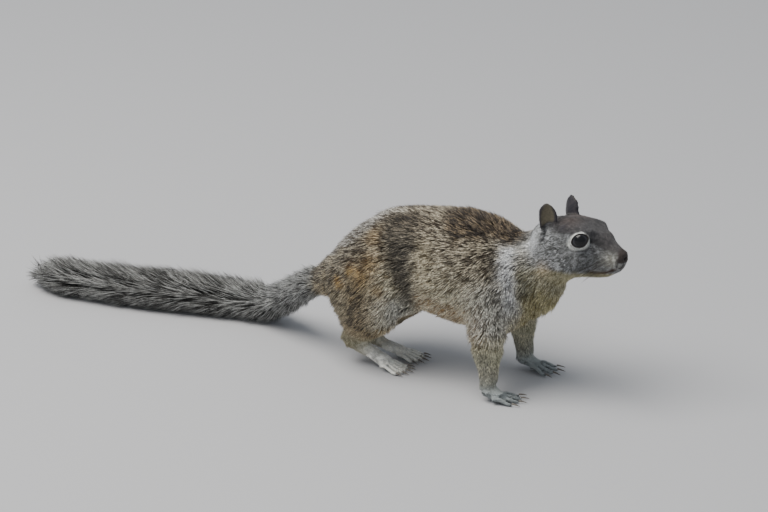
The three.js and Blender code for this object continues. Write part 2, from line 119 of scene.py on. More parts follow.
def near_line(q, line):
    """The distance of each point from a line through some places."""
    line = np.array(line, float)
    best = np.full(len(q), 1e9)
    for a, b in zip(line[:-1], line[1:]):
        step = b - a
        t = np.clip((q - a) @ step / (step @ step), 0, 1)
        best = np.minimum(best, np.linalg.norm(q - a - t[:, None] * step, axis=1))
    return best


def stripe(p, line, width):
    """1 along a line through some places, falling away beside it over a width."""
    return bell(near_line(p, line), 0, width)


def unit(v):
    return v / np.maximum(np.linalg.norm(v, axis=-1, keepdims=True), 1e-9)


def mixed(first, second, share):
    """Rows of values drawn towards others, each row by its share from 0 to 1."""
    return first + np.reshape(share, (-1, 1)) * (second - first)


def hashed(cells, seed):
    """A number from 0 to 1 for each row of whole numbers."""
    c = cells.astype(np.int64)
    h = c[:, 0] * 73856093 ^ c[:, 1] * 19349663 ^ c[:, 2] * 83492791 ^ seed * 2654435761
    h = (h ^ (h >> 13)) * 1274126177
    return ((h ^ (h >> 16)) & 0xFFFFFF) / 0xFFFFFF


def noise(p, scale, seed):
    """Smooth noise from -1 to 1, with features about scale millimetres across."""
    q = p / scale
    cell = np.floor(q)
    t = q - cell
    t = t * t * (3 - 2 * t)
    total = np.zeros(len(p))
    for corner in range(8):
        step = np.array([corner & 1, corner >> 1 & 1, corner >> 2])
        share = np.prod(np.where(step, t, 1 - t), axis=1)
        total += share * hashed(cell + step, seed)
    return total * 2 - 1


def in_head(p):
    """Points in the head's own frame."""
    return (p - HEAD_AT) @ HEAD_TURN


def turned(across, high, angle):
    """Flat coordinates seen from axes turned by an angle."""
    c, s = math.cos(angle), math.sin(angle)
    return across * c + high * s, high * c - across * s


def mirrored(h):
    """Points with their sideways distance counted the same on both sides."""
    return h * [1, 0, 1] + np.abs(h) * [0, 1, 0]


def from_head(p):
    return np.asarray(p, float) @ HEAD_TURN.T + HEAD_AT


def beyond(p, at, faces):
    """How far each point is past a plane."""
    return (p - np.array(at, float)) @ unit(np.array(faces, float))


def tail_place(p):
    """For each point: how far down the tail it is, in millimetres, and the tail's direction there."""
    best = np.full(len(p), 1e9)
    along = np.zeros(len(p))
    way = np.zeros((len(p), 3))
    run = 0.0
    for a, b in zip(TAIL_LINE[:-1], TAIL_LINE[1:]):
        step = b - a
        length = np.linalg.norm(step)
        t = np.clip((p - a) @ step / length**2, 0, 1)
        gap = np.linalg.norm(p - a - t[:, None] * step, axis=1)
        near = gap < best
        best[near] = gap[near]
        along[near] = run + t[near] * length
        way[near] = step / length
        run += length
    return along, way


def zones(p):
    """How much each point belongs to each part of the body, from 0 to 1."""
    x, y, z = p.T
    h = in_head(p)
    head = rise(beyond(p, (63, 0, 87), (0.85, 0, 0.53)), -5, 5)
    tail = rise(beyond(p, (-95, 0, 46), (-0.92, 0.1, -0.38)), -8, 4)
    fore = rise(x, 4, 20) * fall(x, 60, 72) * (1 - head) * rise(-z, -52, -26)
    hind = rise(x, -96, -88) * fall(x, -30, -14) * rise(-z, -42, -24) * (1 - tail)
    fore_foot = fore * rise(-z, -17, -6)
    hind_foot = hind * rise(beyond(p, (-66, 0, 20), (0.6, 0, -0.8)), -4, 6) * rise(-z, -24, -15)
    above_skull = (np.linalg.norm((h - [-4, 0, 1.6]) / [23, 17.5, 14.6], axis=1) - 1) * 15
    ear = head * rise(above_skull, 1.8, 3.6) * rise(h[:, 2], 6, 9) * rise(-h[:, 0], -2, 1)
    ear = ear * rise(np.abs(h[:, 1]), 7, 9)
    muzzle = head * rise(h[:, 0], 12, 24)
    nose = head * rise(h[:, 0], 30, 33) * rise(h[:, 2], -7, -5)
    belly = (1 - head) * (1 - tail) * rise(-z, -56, -40) * rise(18 - np.abs(y), -6, 6)
    return {
        "head": head,
        "tail": tail,
        "leg": np.maximum(fore, hind),
        "fore": fore,
        "hind": hind,
        "foot": np.maximum(fore_foot, hind_foot),
        "ear": ear,
        "muzzle": muzzle,
        "nose": nose,
        "belly": belly,
    }


def blended(zone, trunk, **others):
    """A value for each point: that of the trunk, then of each named zone laid over it in turn."""
    value = np.zeros(len(zone["head"])) + trunk
    for name, v in others.items():
        value += zone[name] * (v - value)
    return value


# ---- The coat's depth, lie and markings over the body ----


def hollows(p):
    """Where the body folds in: before each haunch, and behind each shoulder. From 0 to 1."""
    x, y, z = p.T
    side = np.abs(y)
    rear_edge = np.interp(z, [50, 65, 84, 100, 108], [-20, -23, -30, -38, -42])
    flank = rise(x, rear_edge - 6, rear_edge + 5) * fall(x, -17, -5) * rise(z, 44, 60)
    flank = flank * rise(side, 1, 12)
    middle = 36.5 + (92 - z) * 0.2
    shoulder = bell(x, middle, 3.4) * rise(side, 10, 18) * rise(z, 58, 68) * rise(-z, -100, -92)
    return flank, shoulder


def coat_depth(p, zone):
    """How far the skin lies inside the tips of the coat, in millimetres."""
    h = in_head(p)
    along = tail_place(p)[0]
    z = p[:, 2]
    head = 2.0 - 1.1 * rise(h[:, 2], 4, 11) + 0.8 * rise(-h[:, 0], 4, 16) * rise(-h[:, 2], -4, 4)
    around_eye = bell(from_eye(h), 0, 8.5)
    head = head * (1 - 0.85 * around_eye)
    head = head + rise(h[:, 0], 12, 27) * (0.5 - head)
    leg = 0.6 + 3.4 * rise(z, 12, 46)
    tail = 5 + 2.6 * rise(along, 20, 80) + 1.4 * bell(along, 85, 35) - 3.4 * rise(along, 200, 243)
    flank, shoulder = hollows(p)
    trunk = 4.4 + 3.2 * flank * rise(-z, -100, -84) + 1.8 * shoulder
    depth = trunk + zone["belly"] * (3.8 - trunk)
    foot = 0.4 + 0.4 * rise(z, 5, 12)
    return blended(zone, depth, leg=leg, foot=foot, tail=tail, head=head, nose=0.0, ear=-0.45)


# Where the coat runs: a place on the right side and the way its hairs point there, the same on both sides.
LIE = [
    ((114, -2, 99), (-1, 0, 0.35)),
    ((106, -6, 104), (-1, -0.1, 0.45)),
    ((98, -5, 111), (-1, -0.15, 0.15)),
    ((86, -6, 115), (-1, -0.1, -0.1)),
    ((72, -6, 112), (-1, -0.05, -0.45)),
    ((112, -6, 94), (-1, -0.2, 0.0)),
    ((102, -12, 92), (-1, -0.2, -0.25)),
    ((94, -15, 101), (-1, -0.25, 0.15)),
    ((90, -17, 92), (-1, -0.1, -0.4)),
    ((80, -18, 96), (-1, -0.1, -0.3)),
    ((76, -18, 108), (-0.8, -0.3, -0.2)),
    ((78, -16, 86), (-0.8, 0.1, -0.6)),
    ((104, -5, 85), (-0.9, -0.2, -0.3)),
    ((92, -6, 82), (-0.85, -0.2, -0.5)),
    ((60, -14, 98), (-0.8, -0.1, -0.6)),
    ((64, -17, 82), (-0.6, -0.1, -0.8)),
    ((70, -6, 76), (-0.5, -0.1, -0.85)),
    ((60, 0, 62), (-0.45, 0, -0.9)),
    ((56, -12, 60), (-0.3, -0.1, -0.95)),
    ((52, -6, 50), (-0.6, 0, -0.8)),
    ((50, -8, 102), (-1, -0.1, -0.3)),
    ((20, -8, 111), (-1, -0.05, 0.03)),
    ((-10, -8, 109), (-1, -0.05, -0.05)),
    ((-45, -8, 101), (-1, -0.05, -0.3)),
    ((-72, -6, 82), (-0.8, 0, -0.6)),
    ((-90, -3, 58), (-0.85, 0, -0.5)),
    ((20, -30, 95), (-0.9, -0.1, -0.35)),
    ((-10, -32, 90), (-0.95, -0.1, -0.3)),
    ((-10, -33, 65), (-0.92, 0, -0.4)),
    ((14, -26, 55), (-0.85, 0.1, -0.5)),
    ((-20, -26, 50), (-0.95, 0.1, -0.3)),
    ((0, 0, 40), (-1, 0, -0.1)),
    ((-34, 0, 42), (-1, 0, 0.1)),
    ((30, 0, 42), (-1, 0, -0.2)),
    ((42, -26, 78), (-0.45, -0.1, -0.85)),
    ((32, -30, 62), (-0.35, -0.1, -0.93)),
    ((32, -28, 44), (-0.2, 0, -1)),
    ((35, -30, 26), (-0.1, 0, -1)),
    ((38, -31, 12), (0.35, 0, -0.9)),
    ((48, -31, 4), (1, 0, -0.2)),
    ((62, -31, 2), (1, 0, -0.2)),
    ((-40, -34, 78), (-0.8, -0.1, -0.55)),
    ((-62, -30, 68), (-0.65, 0, -0.75)),
    ((-52, -34, 54), (-0.6, 0, -0.8)),
    ((-34, -32, 52), (-0.55, 0, -0.8)),
    ((-40, -28, 38), (-0.75, 0, -0.65)),
    ((-58, -20, 32), (-0.75, 0, -0.65)),
    ((-70, -14, 22), (-0.3, 0, -0.95)),
    ((-70, -12, 12), (0.6, 0, -0.8)),
    ((-56, -13, 10), (0.95, 0, -0.35)),
    ((-34, -13, 3), (1, 0, -0.15)),
]


def coat_lie(p, normal):
    """The way the hairs lie at each point, along the skin."""
    total = np.zeros_like(p)
    for side in (1, -1):
        for place, way in LIE:
            mirror = np.array([1, side, 1])
            share = np.exp(-np.sum((p - mirror * place) ** 2, axis=1) / (2 * 11.0**2)) + 1e-9
            total += share[:, None] * unit(mirror * np.array(way, float))
    way = tail_place(p)[1]
    tail = rise(beyond(p, (-88, 0, 49), (-0.92, 0.1, -0.38)), -6, 8)
    total = unit(total) * (1 - tail[:, None]) + way * tail[:, None]
    flat = total - np.sum(total * normal, axis=1, keepdims=True) * normal
    return unit(flat)


def body_height(p):
    """-1 under the trunk, 1 along the top of its back."""
    x = p[:, 0]
    stations = [-97, -75, -36, -5, 25, 48, 73]
    middle = np.interp(x, stations, [45, 55.5, 71.5, 74, 71, 72, 93])
    half = np.interp(x, stations, [8, 18, 32.6, 36, 36, 28, 15])
    return (p[:, 2] - middle) / half


def eye_ring(h, sizes):
    """The pale ring round each eye: thickest below, thinner above and in front."""
    ring = np.zeros(len(h))
    for side in SIDES:
        middle, forward, upward, outward = eye_axes(side)
        away = h - middle
        across, high = turned(away @ forward, away @ upward, EYE_TILT)
        wide, tall = sizes.eye_width / 2, sizes.eye_height / 2
        gap = (np.sqrt((across / wide) ** 2 + (high / tall) ** 2) - 1) * (wide + tall) / 2 - 0.5
        level = unit(away - (away @ outward)[:, None] * outward)
        front, top = level @ forward, level @ upward
        thick = 1.3 - 0.3 * rise(top, 0.1, 0.7) + 1.2 * rise(-top, -0.1, 0.6) + 0.15 * rise(-front, 0.3, 0.8)
        thick = thick - 0.7 * rise(front, 0.1, 0.6) * rise(top, -0.3, 0.3) + 0.3 * noise(h, 1.6, 41)
        ring = np.maximum(ring, fall(gap, thick - 0.5, thick + 0.5) * (away @ outward > 1.0))
    return ring


def ear_sheet(h, side):
    """For points in the head's frame: how far each is from the middle of an ear, 1 at its rim, how far to
    its hollow side, and the way that side faces."""
    points = in_head(place_in_animal(points_of(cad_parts[f"ear_{side}"].data)))
    middle = points.mean(axis=0)
    spread, ways = np.linalg.eigh(np.cov((points - middle).T))
    facing = ways[:, 0] * math.copysign(1, ways[1, 0] * middle[1])
    away = h - middle
    from_middle = np.sqrt((away @ ways[:, 1]) ** 2 / spread[1] + (away @ ways[:, 2]) ** 2 / spread[2]) / 2
    own = points - middle
    near = (own @ ways[:, 1]) ** 2 / spread[1] + (own @ ways[:, 2]) ** 2 / spread[2] < 0.6
    cup = (own[near] @ facing).mean() if near.any() else 0.0
    return from_middle, away @ facing - cup * fall(from_middle, 0, 1), facing


def markings(p, zone, sizes, colours):
    """The coat's colours at each point: the dark ground, the pale fleck, and the flecks' share."""
    x, y, z = p.T
    side = np.abs(y)
    h = in_head(p)
    n = len(p)
    top = body_height(p)
    cloud = noise(p, 16, 3)
    patch = noise(p, 9, 4)

    ground = np.tile(colours["back_dark"], (n, 1))
    fleck = np.tile(colours["back_pale"], (n, 1))
    share = np.full(n, 0.43)

    def lay(amount, part, region, pale=None):
        """Lays a region's two colours over the rest, or a ground and a fleck that are both named."""
        nonlocal ground, fleck, share
        a = np.clip(amount, 0, 1)
        dark, pale = (region, pale) if pale else (region + "_dark", region + "_pale")
        ground = mixed(ground, colours[dark], a)
        fleck = mixed(fleck, colours[pale], a)
        share = share + a * (part - share)

    flank = rise(-top, -0.55, 0.2)
    lay(flank, 0.6, "flank")
    haunch = fall(x, -46, -30) * rise(x, -100, -80)
    lay(haunch * rise(-top, -0.8, 0.1) * (0.75 + 0.25 * cloud), 0.45, "haunch")
    rust = rise(patch, 0.3, 0.8) * rise(x, -92, -70) * fall(x, -34, -22) * rise(-top, -0.7, -0.2)
    for place in ((-41, 25, 95), (-40, 33, 80), (-46, 34, 72)):
        rust = np.maximum(rust, spot(mirrored(p), place, 7))
    lay(0.8 * rust, 0.55, "rust")
    rib = bell(x, -4, 7) * rise(z, 50, 60) * fall(z, 88, 100)
    lay(0.6 * rib, 0.72, "flank_dark", "rib_pale")
    # Partly pale hair tips, partly painted highlight: the top of the rump is paler where the light from
    # above catches its edge.
    lay(0.5 * rise(top, 0.8, 0.95) * fall(x, -34, -20), 0.6, "back_dark", "silver_pale")
    belly_edge = rise(-top, 0.15, 0.5) * rise(x, -22, -6) * fall(x, 32, 42)
    lay(0.85 * belly_edge, 0.55, "belly")
    flank_hollow, shoulder_hollow = hollows(p)
    loin = bell(x, -22, 14) * rise(z, 92, 100) * rise(side, 5, 10)
    lay(0.85 * loin, 0.4, "saddle")
    # Painted shade: the hair in the crease before each haunch is darkened for the shade that falls in it, a
    # little less towards the top of the back.
    lay(0.9 * flank_hollow * (1 - 0.45 * rise(z, 88, 102)), 0.36, "fold")

    # The dark wedge over the shoulders, and the silver stripe from the nape down before each shoulder.
    wedge_edge = np.interp(x, [-4, 7, 14, 29, 47, 57], [3, 18, 20, 13, 9, 4]) + 2.0 * patch
    wedge = fall(side, wedge_edge - 2, wedge_edge + 2.5) * rise(x + 3 * patch, -4, 8)
    wedge = wedge * rise(top, 0.1, 0.5)
    lay(wedge * (1 - zone["head"]), 0.33, "saddle")
    front = bell(x, 47.5 - 0.02 * (z - 80), 7)
    silver = front * rise(side, 6, 11) * rise(z, 50, 70) * (1 - zone["head"]) * (1 - wedge)
    lay(0.95 * silver, 0.74, "silver")
    shoulder = bell(x, 38, 13) * rise(side, 16, 24) * rise(z, 40, 50) * rise(-z, -86, -70)
    lay(0.7 * shoulder, 0.66, "shoulder")
    # Painted shade: the crease behind each shoulder is darkened the same way.
    lay(0.4 * shoulder_hollow, 0.3, "fold")

    groin = bell(x, -27, 9) * rise(-z, -66, -52) * rise(z, 32, 40)
    lay(groin, 0.68, "groin")
    chest = rise(x + 0.8 * (20 - side), 52, 64) * rise(-z, -92, -82) * (1 - 0.4 * zone["head"])
    lay(chest, 0.55, "chest")
    neck = rise(x, 52, 57) * rise(side, 12, 18) * rise(z, 66, 74) * fall(z, 96, 101)
    neck = neck * (1 - 0.9 * rise(h[:, 0], -17, -12))
    lay(0.9 * neck, 0.4, "neck")
    under = zone["belly"] * rise(-z, -50, -40)
    lay(under, 0.6, "belly")

    arm = zone["fore"] * rise(-z, -56, -34)
    lay(arm, 0.6, "arm")
    outside = arm * rise(side, 30, 35) * rise(z, 12, 22)
    lay(0.5 * outside, 0.5, "silver_dark", "arm_pale")
    lay(0.6 * zone["fore"] * bell(z, 18, 10), 0.62, "groin_dark", "belly_pale")
    shank = zone["hind"] * rise(-z, -36, -24)
    lay(shank, 0.5, "shank")
    lay(0.7 * zone["hind"] * rise(-z, -30, -18), 0.55, "arm")
    lay(zone["hind"] * rise(-z, -20, -12) * rise(x, -68, -48), 0.85, "foot")
    # Painted shade: the forefeet have the same pale hair as the hind feet, and their darker, bluer colours
    # stand for the shade they lie in.
    lay(zone["fore"] * rise(-z, -21, -5), 0.6, "fore_foot")

    along = tail_place(p)[0]
    lay(zone["tail"], 0.45, "tail")

    head = zone["head"]
    m = mirrored(h)
    lay(head, 0.5, "cheek")
    temple = np.interp(h[:, 0], [-16, -6, 4, 14, 24, 31], [11, 10, 9.5, 5.5, 1.0, -1.0]) + 0.8 * patch
    crown = head * rise(h[:, 2], temple - 1.2, temple + 1.6)
    lay(crown, 0.42, "crown")
    lay(0.8 * crown * spot(m, (0, 7, 16), 8), 0.45, "scalp")
    lay(crown * rise(h[:, 0], 12, 26), 0.4, "muzzle")
    below = head * rise(h[:, 0], 4, 14) * (1 - crown) * rise(h[:, 2], -6, 0) * fall(h[:, 0], 20, 26)
    lay(0.6 * below, 0.4, "muzzle_dark", "cheek_pale")
    throat = head * rise(-h[:, 2], 12, 15.5)
    lay(0.85 * throat, 0.6, "chest")
    lay(0.8 * head * spot(m, (-11, 17, -15), 5), 0.6, "peach")
    cheek = head * spot(m, (28, 7, -4.5), 4.6, [0.75, 1, 1])
    lay(cheek, 0.65, "lip")
    under_nose = head * rise(h[:, 0], 30, 32) * rise(-h[:, 2], 6, 7.5) * fall(-h[:, 2], 8.5, 10)
    lay(0.9 * under_nose, 0.4, "muzzle_dark", "lip_pale")
    lay(eye_ring(h, sizes), 0.5, "eye_ring", "eye_ring")
    behind_ear = spot(m, (-22, 12, 3), 7.5, [1, 1, 0.8]) * rise(m[:, 1], 5, 9)
    lay(behind_ear * (1 - zone["ear"]), 0.95, "eye_ring", "silver_pale")
    tuft = spot(m, (-10.4, 14.4, 10), 2.0)
    lay(zone["ear"], 0.3, "ear")
    for side in SIDES:
        from_middle, to_hollow, _ = ear_sheet(h, side)
        inner = zone["ear"] * fall(from_middle, 0.55, 0.85) * rise(to_hollow, -0.3, 0.3)
        lay(inner * rise(h[:, 2], 6, 11), 0.5, "ear_inside", "ear_inside")
        # Painted shade: the lower part of each ear's hollow is darkened for the shadow that falls in it; the
        # upper part keeps the hollow's own colour.
        lay(inner * fall(h[:, 2], 6, 11), 0.5, "eye_rim", "ear_dark")
        rim = zone["ear"] * rise(from_middle, 0.86, 1.0) * (from_middle < 1.6)
        lay(0.8 * rim, 0.5, "ear_dark", "ear_dark")
    lay(tuft, 0.5, "silver_pale", "eye_ring")
    # Painted shade: the opening low in each ear is painted near black for the shade inside it.
    lay(head * stripe(m, EAR_NOTCH, 2.2), 0.5, "eye_rim", "eye_rim")
    # The mouth's line: partly the lips' own dark edge, partly painted shade in the crease between them.
    lay(head * bell(mouth_gap(h), 0, 0.85), 0.5, "mouth", "mouth")
    lay(zone["nose"], 0.5, "nose", "nose")
    return ground, fleck, share, along


def mottling(zone):
    """How strongly fine bands of dark and pale cross the hairs."""
    return blended(zone, 0.62, leg=0.3, foot=0.1, tail=0.35, head=0.36, muzzle=0.14, ear=0.12)


# ---- Meshes ----


def place_in_row(p):
    """From the animal's frame in millimetres to the row's in metres."""
    return (np.asarray(p, float) + ORIGIN) / 1000


def place_in_animal(co):
    return np.asarray(co, float) * 1000 - ORIGIN


def read_rows(items, name, width, kind=float):
    """One named value of every item of a mesh, as the rows of an array."""
    values = np.empty(len(items) * width, kind)
    items.foreach_get(name, values)
    return values.reshape(-1, width)


def points_of(mesh):
    return read_rows(mesh.vertices, "co", 3)


def triangles_of(mesh):
    mesh.calc_loop_triangles()
    return read_rows(mesh.loop_triangles, "vertices", 3, np.int32)


def edges_of(triangles):
    pairs = np.concatenate([triangles[:, [0, 1]], triangles[:, [1, 2]], triangles[:, [2, 0]]])
    return np.unique(np.sort(pairs, axis=1), axis=0)


def normals_of(points, triangles):
    a, b, c = (points[triangles[:, k]] for k in range(3))
    across = np.cross(b - a, c - a)
    total = np.stack(
        [
            sum(np.bincount(triangles[:, k], across[:, axis], len(points)) for k in range(3))
            for axis in range(3)
        ],
        axis=1,
    )
    return unit(total)


def ring_of(triangles):
    """Each point's neighbours in one long row, with where each point's own begin and how many they are."""
    pairs = edges_of(triangles)
    pairs = np.concatenate([pairs, pairs[:, ::-1]])
    pairs = pairs[np.argsort(pairs[:, 0], kind="stable")]
    count = np.bincount(pairs[:, 0])
    return pairs[:, 1], np.cumsum(count) - count, count[:, None].astype(np.float32)


def neighbour_mean(values, ring):
    neighbours, start, count = ring
    return np.add.reduceat(values[neighbours], start, axis=0) / count


def faired(points, ring, share, rounds):
    """Points smoothed without shrinking, each as much as its share says."""
    share = np.asarray(share, np.float32)[:, None]
    points = np.asarray(points, np.float32)
    for _ in range(rounds):
        points = points + 0.6 * share * (neighbour_mean(points, ring) - points)
        points = points - 0.61 * share * (neighbour_mean(points, ring) - points)
    return points.astype(float)


def new_mesh(name, points, triangles):
    """A mesh of triangles, from points in the units they are to keep."""
    mesh = bpy.data.meshes.new(name)
    mesh.vertices.add(len(points))
    mesh.vertices.foreach_set("co", np.ascontiguousarray(points, np.float32).ravel())
    mesh.loops.add(triangles.size)
    mesh.loops.foreach_set("vertex_index", np.ascontiguousarray(triangles, np.int32).ravel())
    mesh.polygons.add(len(triangles))
    mesh.polygons.foreach_set("loop_start", np.arange(0, triangles.size, 3, dtype=np.int32))
    mesh.update(calc_edges=True)
    return mesh


def new_object(name, data):
    """An object in the scene."""
    thing = bpy.data.objects.new(name, data)
    bpy.context.scene.collection.objects.link(thing)
    return thing


def new_piece(name, mesh, finish):
    """An object of the model, riding on its one body."""
    old = bpy.data.objects.get(name)
    if old:
        bpy.data.objects.remove(old)
    piece = new_object(name, mesh)
    mesh.materials.append(finish)
    mesh.polygons.foreach_set("use_smooth", np.ones(len(mesh.polygons), bool))
    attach(piece, "root")
    return piece


def paint(mesh, colours, mottled=0.0):
    """Gives each vertex its colour, with how mottled it is beside it."""
    layer = mesh.color_attributes.new("Coat", "FLOAT_COLOR", "POINT")
    data = np.empty((len(colours), 4), np.float32)
    data[:, :3] = np.clip(colours, 0, 1)
    data[:, 3] = mottled
    layer.data.foreach_set("color", data.ravel())


def modified(mesh, kind, **settings):
    """A mesh after one modifier."""
    holder = new_object("holder", mesh)
    if "group" in settings:
        group = holder.vertex_groups.new(name="share")
        weights = settings.pop("group")
        for level in range(11):
            group.add(np.flatnonzero(np.round(weights * 10) == level).tolist(), level / 10, "REPLACE")
        settings["vertex_group"] = "share"
    modifier = holder.modifiers.new("change", kind)
    for key, value in settings.items():
        setattr(modifier, key, value)
    graph = bpy.context.evaluated_depsgraph_get()
    result = bpy.data.meshes.new_from_object(holder.evaluated_get(graph))
    bpy.data.objects.remove(holder)
    return result


def joined_solids(names, grown):
    """The CAD solids of some nodes as one mesh in the animal's frame, each grown by its own amount so that
    they overlap."""
    points, faces, start = [], [], 0
    for name in names:
        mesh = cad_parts[name].data
        co = place_in_animal(points_of(mesh))
        _, first, same = np.unique(np.round(co, 3), axis=0, return_index=True, return_inverse=True)
        co, corners = co[first], same.ravel()[triangles_of(mesh)]
        points.append(co + grown[name] * normals_of(co, corners))
        faces.append(corners + start)
        start += len(co)
    return new_mesh("solids", np.concatenate(points), np.concatenate(faces))


def outer_part(points, triangles):
    """The largest connected part of a mesh."""
    a, b = edges_of(triangles).T
    label = np.arange(len(points))
    while True:
        low = np.minimum(label[a], label[b])
        lowest = label.copy()
        np.minimum.at(lowest, a, low)
        np.minimum.at(lowest, b, low)
        for _ in range(6):
            lowest = lowest[lowest]
        if (lowest == label).all():
            break
        label = lowest
    main = np.bincount(label).argmax()
    kept = label == main
    renumbered = np.cumsum(kept) - 1
    return points[kept], renumbered[triangles[kept[triangles[:, 0]]]]


# ---- Finishes ----

BANDS = 950  # how fine the bands across the hairs are, as cells of noise in each metre


def finish_nodes(name):
    material = bpy.data.materials.get(name) or bpy.data.materials.new(name)
    material.use_nodes = True
    tree = material.node_tree
    tree.nodes.clear()
    out = tree.nodes.new("ShaderNodeOutputMaterial")
    shader = tree.nodes.new("ShaderNodeBsdfPrincipled")
    tree.links.new(shader.outputs[0], out.inputs[0])
    return material, tree, shader


def shader_maths(tree, operation, first, second):
    """A maths node fed by an output and by an output or a number."""
    node = tree.nodes.new("ShaderNodeMath")
    node.operation = operation
    for socket, value in zip(node.inputs, (first, second)):
        if isinstance(value, float):
            socket.default_value = value
        else:
            tree.links.new(value, socket)
    return node.outputs[0]


def shader_noise(tree, where, scale, low, high):
    """Noise spread over a range of values, with its own plain output."""
    fine = tree.nodes.new("ShaderNodeTexNoise")
    settle(fine, {"Scale": scale, "Detail": 3, "Roughness": 0.6})
    tree.links.new(where.outputs["Object"], fine.inputs["Vector"])
    spread = tree.nodes.new("ShaderNodeMapRange")
    settle(spread, {"From Min": 0.36, "From Max": 0.64, "To Min": low, "To Max": high})
    tree.links.new(fine.outputs[0], spread.inputs["Value"])
    return spread.outputs[0], fine.outputs[0]


def settle(node, values):
    """Gives sockets of a node plain values."""
    for socket, value in values.items():
        node.inputs[socket].default_value = value


def painted_colour(tree):
    """The colour painted on each vertex, with how mottled it is as its alpha."""
    painted = tree.nodes.new("ShaderNodeAttribute")
    painted.attribute_name = "Coat"
    return painted.outputs


def relief(tree, shader, height, strength, distance):
    """Raises the surface by a pattern, as far as a distance in metres."""
    bump = tree.nodes.new("ShaderNodeBump")
    settle(bump, {"Strength": strength, "Distance": distance})
    tree.links.new(height, bump.inputs["Height"])
    tree.links.new(bump.outputs[0], shader.inputs["Normal"])


def fur_finish(name, grain, streak, roughness, bump):
    """Fur: the painted colour, crossed by fine bands and streaked by fine grain, with the hairs' relief."""
    material, tree, shader = finish_nodes(name)
    painted = painted_colour(tree)
    where = tree.nodes.new("ShaderNodeTexCoord")
    streaks, plain = shader_noise(tree, where, grain, 1 - streak, 1 + streak)
    bands, _ = shader_noise(tree, where, BANDS, -1, 1)
    bands = shader_maths(tree, "MULTIPLY", bands, painted["Alpha"])
    bands = shader_maths(tree, "ADD", bands, 1.0)
    mix = tree.nodes.new("ShaderNodeMix")
    mix.data_type = "RGBA"
    mix.blend_type = "MULTIPLY"
    mix.inputs["Factor"].default_value = 1
    tree.links.new(painted["Color"], mix.inputs["A"])
    tree.links.new(shader_maths(tree, "MULTIPLY", bands, streaks), mix.inputs["B"])
    tree.links.new(mix.outputs["Result"], shader.inputs["Base Color"])
    relief(tree, shader, plain, strength=bump, distance=0.0003)
    settle(shader, {"Roughness": roughness, "Specular IOR Level": 0.25})
    settle(shader, {"Sheen Weight": 0.08, "Sheen Roughness": 0.5})
    return material


def horn_finish(name):
    """Claw horn: the painted colour, with a waxy gloss and fine lines."""
    material, tree, shader = finish_nodes(name)
    where = tree.nodes.new("ShaderNodeTexCoord")
    fine = tree.nodes.new("ShaderNodeTexNoise")
    fine.inputs["Scale"].default_value = 1600
    tree.links.new(where.outputs["Object"], fine.inputs["Vector"])
    relief(tree, shader, fine.outputs[0], strength=0.2, distance=0.0002)
    tree.links.new(painted_colour(tree)["Color"], shader.inputs["Base Color"])
    shader.inputs["Roughness"].default_value = 0.38
    return material


def eye_finish(name):
    """A wet eye: the painted pupil and iris, under a clear gloss."""
    material, tree, shader = finish_nodes(name)
    tree.links.new(painted_colour(tree)["Color"], shader.inputs["Base Color"])
    settle(shader, {"Roughness": 0.13, "IOR": 1.376, "Specular IOR Level": 0.5})
    return material


# ---- The skin ----

SIDES = ("left", "right")
EYE_TILT = math.radians(28)
NOSTRIL = [(35.8, 1.3, -2.6), (35.2, 2.3, -3.4), (34.2, 3.0, -3.2)]
EAR_NOTCH = [(-13, 15.2, 4.5), (-12.8, 15.2, 8), (-12.6, 15, 10.5)]  # the opening low in each ear
# The solids overlap by this much, in millimetres, when they are closed into one.
GROWN = 2.4
GROWN_HEAD = 1.2
GROWN_FINE = 0.3
FLESH = ["head", "neck", "trunk", "tail_base", "tail_middle", "tail_tip"] + [
    f"{part}_{side}"
    for part in ("upper_arm", "forearm", "fore_foot", "thigh", "shank", "hind_foot", "ear")
    for side in SIDES
]
MOUTH = [
    (33.8, 0, -8.6),
    (31.5, 4.2, -9.4),
    (29.2, 6.0, -10.6),
    (26.3, 5.8, -12.4),
    (23.2, 5.6, -13.6),
    (19.2, 5.8, -14.2),
    (15.0, 7.0, -14.0),
]


def from_eye(h):
    """How far each point in the head is from the middle of its eye."""
    return np.linalg.norm(mirrored(h) - EYE_AT, axis=1)


def eye_axes(side):
    """The eye's middle in the head's frame, and its forward, upward and outward axes."""
    middle = in_head(place_in_animal(sum(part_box(f"eye_{side}"), Vector()) / 2)[None])[0]
    outward = unit(np.array([0.36, math.copysign(0.9, middle[1]), 0.1]))
    forward = unit(np.array([1.0, 0, 0.0]) - outward[0] * outward)
    upward = np.cross(forward, outward) * math.copysign(1, middle[1])
    return middle, forward, upward, outward


def eye_opening(h, side, sizes):
    """How far each point lies from the middle of the eye's opening: under 1 inside it, along the ball.
    Also the distance from the ball's middle, and the way out from it."""
    middle, forward, upward, outward = eye_axes(side)
    away = h - middle
    far = np.linalg.norm(away, axis=1)
    way = away / np.maximum(far, 1e-6)[:, None]
    a, b = turned(way @ forward, way @ upward, EYE_TILT)
    half_width = sizes.eye_width / 2 / sizes.eye_radius
    half_height = sizes.eye_height / 2 / sizes.eye_radius
    across = np.abs(a) / half_width
    almond = np.sqrt(across**2.0 + (b / half_height * (1 + 0.16 * across**2)) ** 2)
    almond = np.where(way @ outward > 0.05, almond, 9.0)
    return almond, far, way, middle


def mouth_gap(h):
    """How far each point is from the line of the mouth, in millimetres, mostly as seen from the side."""
    flat = np.array([1, 0.35, 1])
    return near_line(mirrored(h) * flat, np.array(MOUTH) * flat) + 0.3 * rise(h[:, 0], 30.5, 32.5)


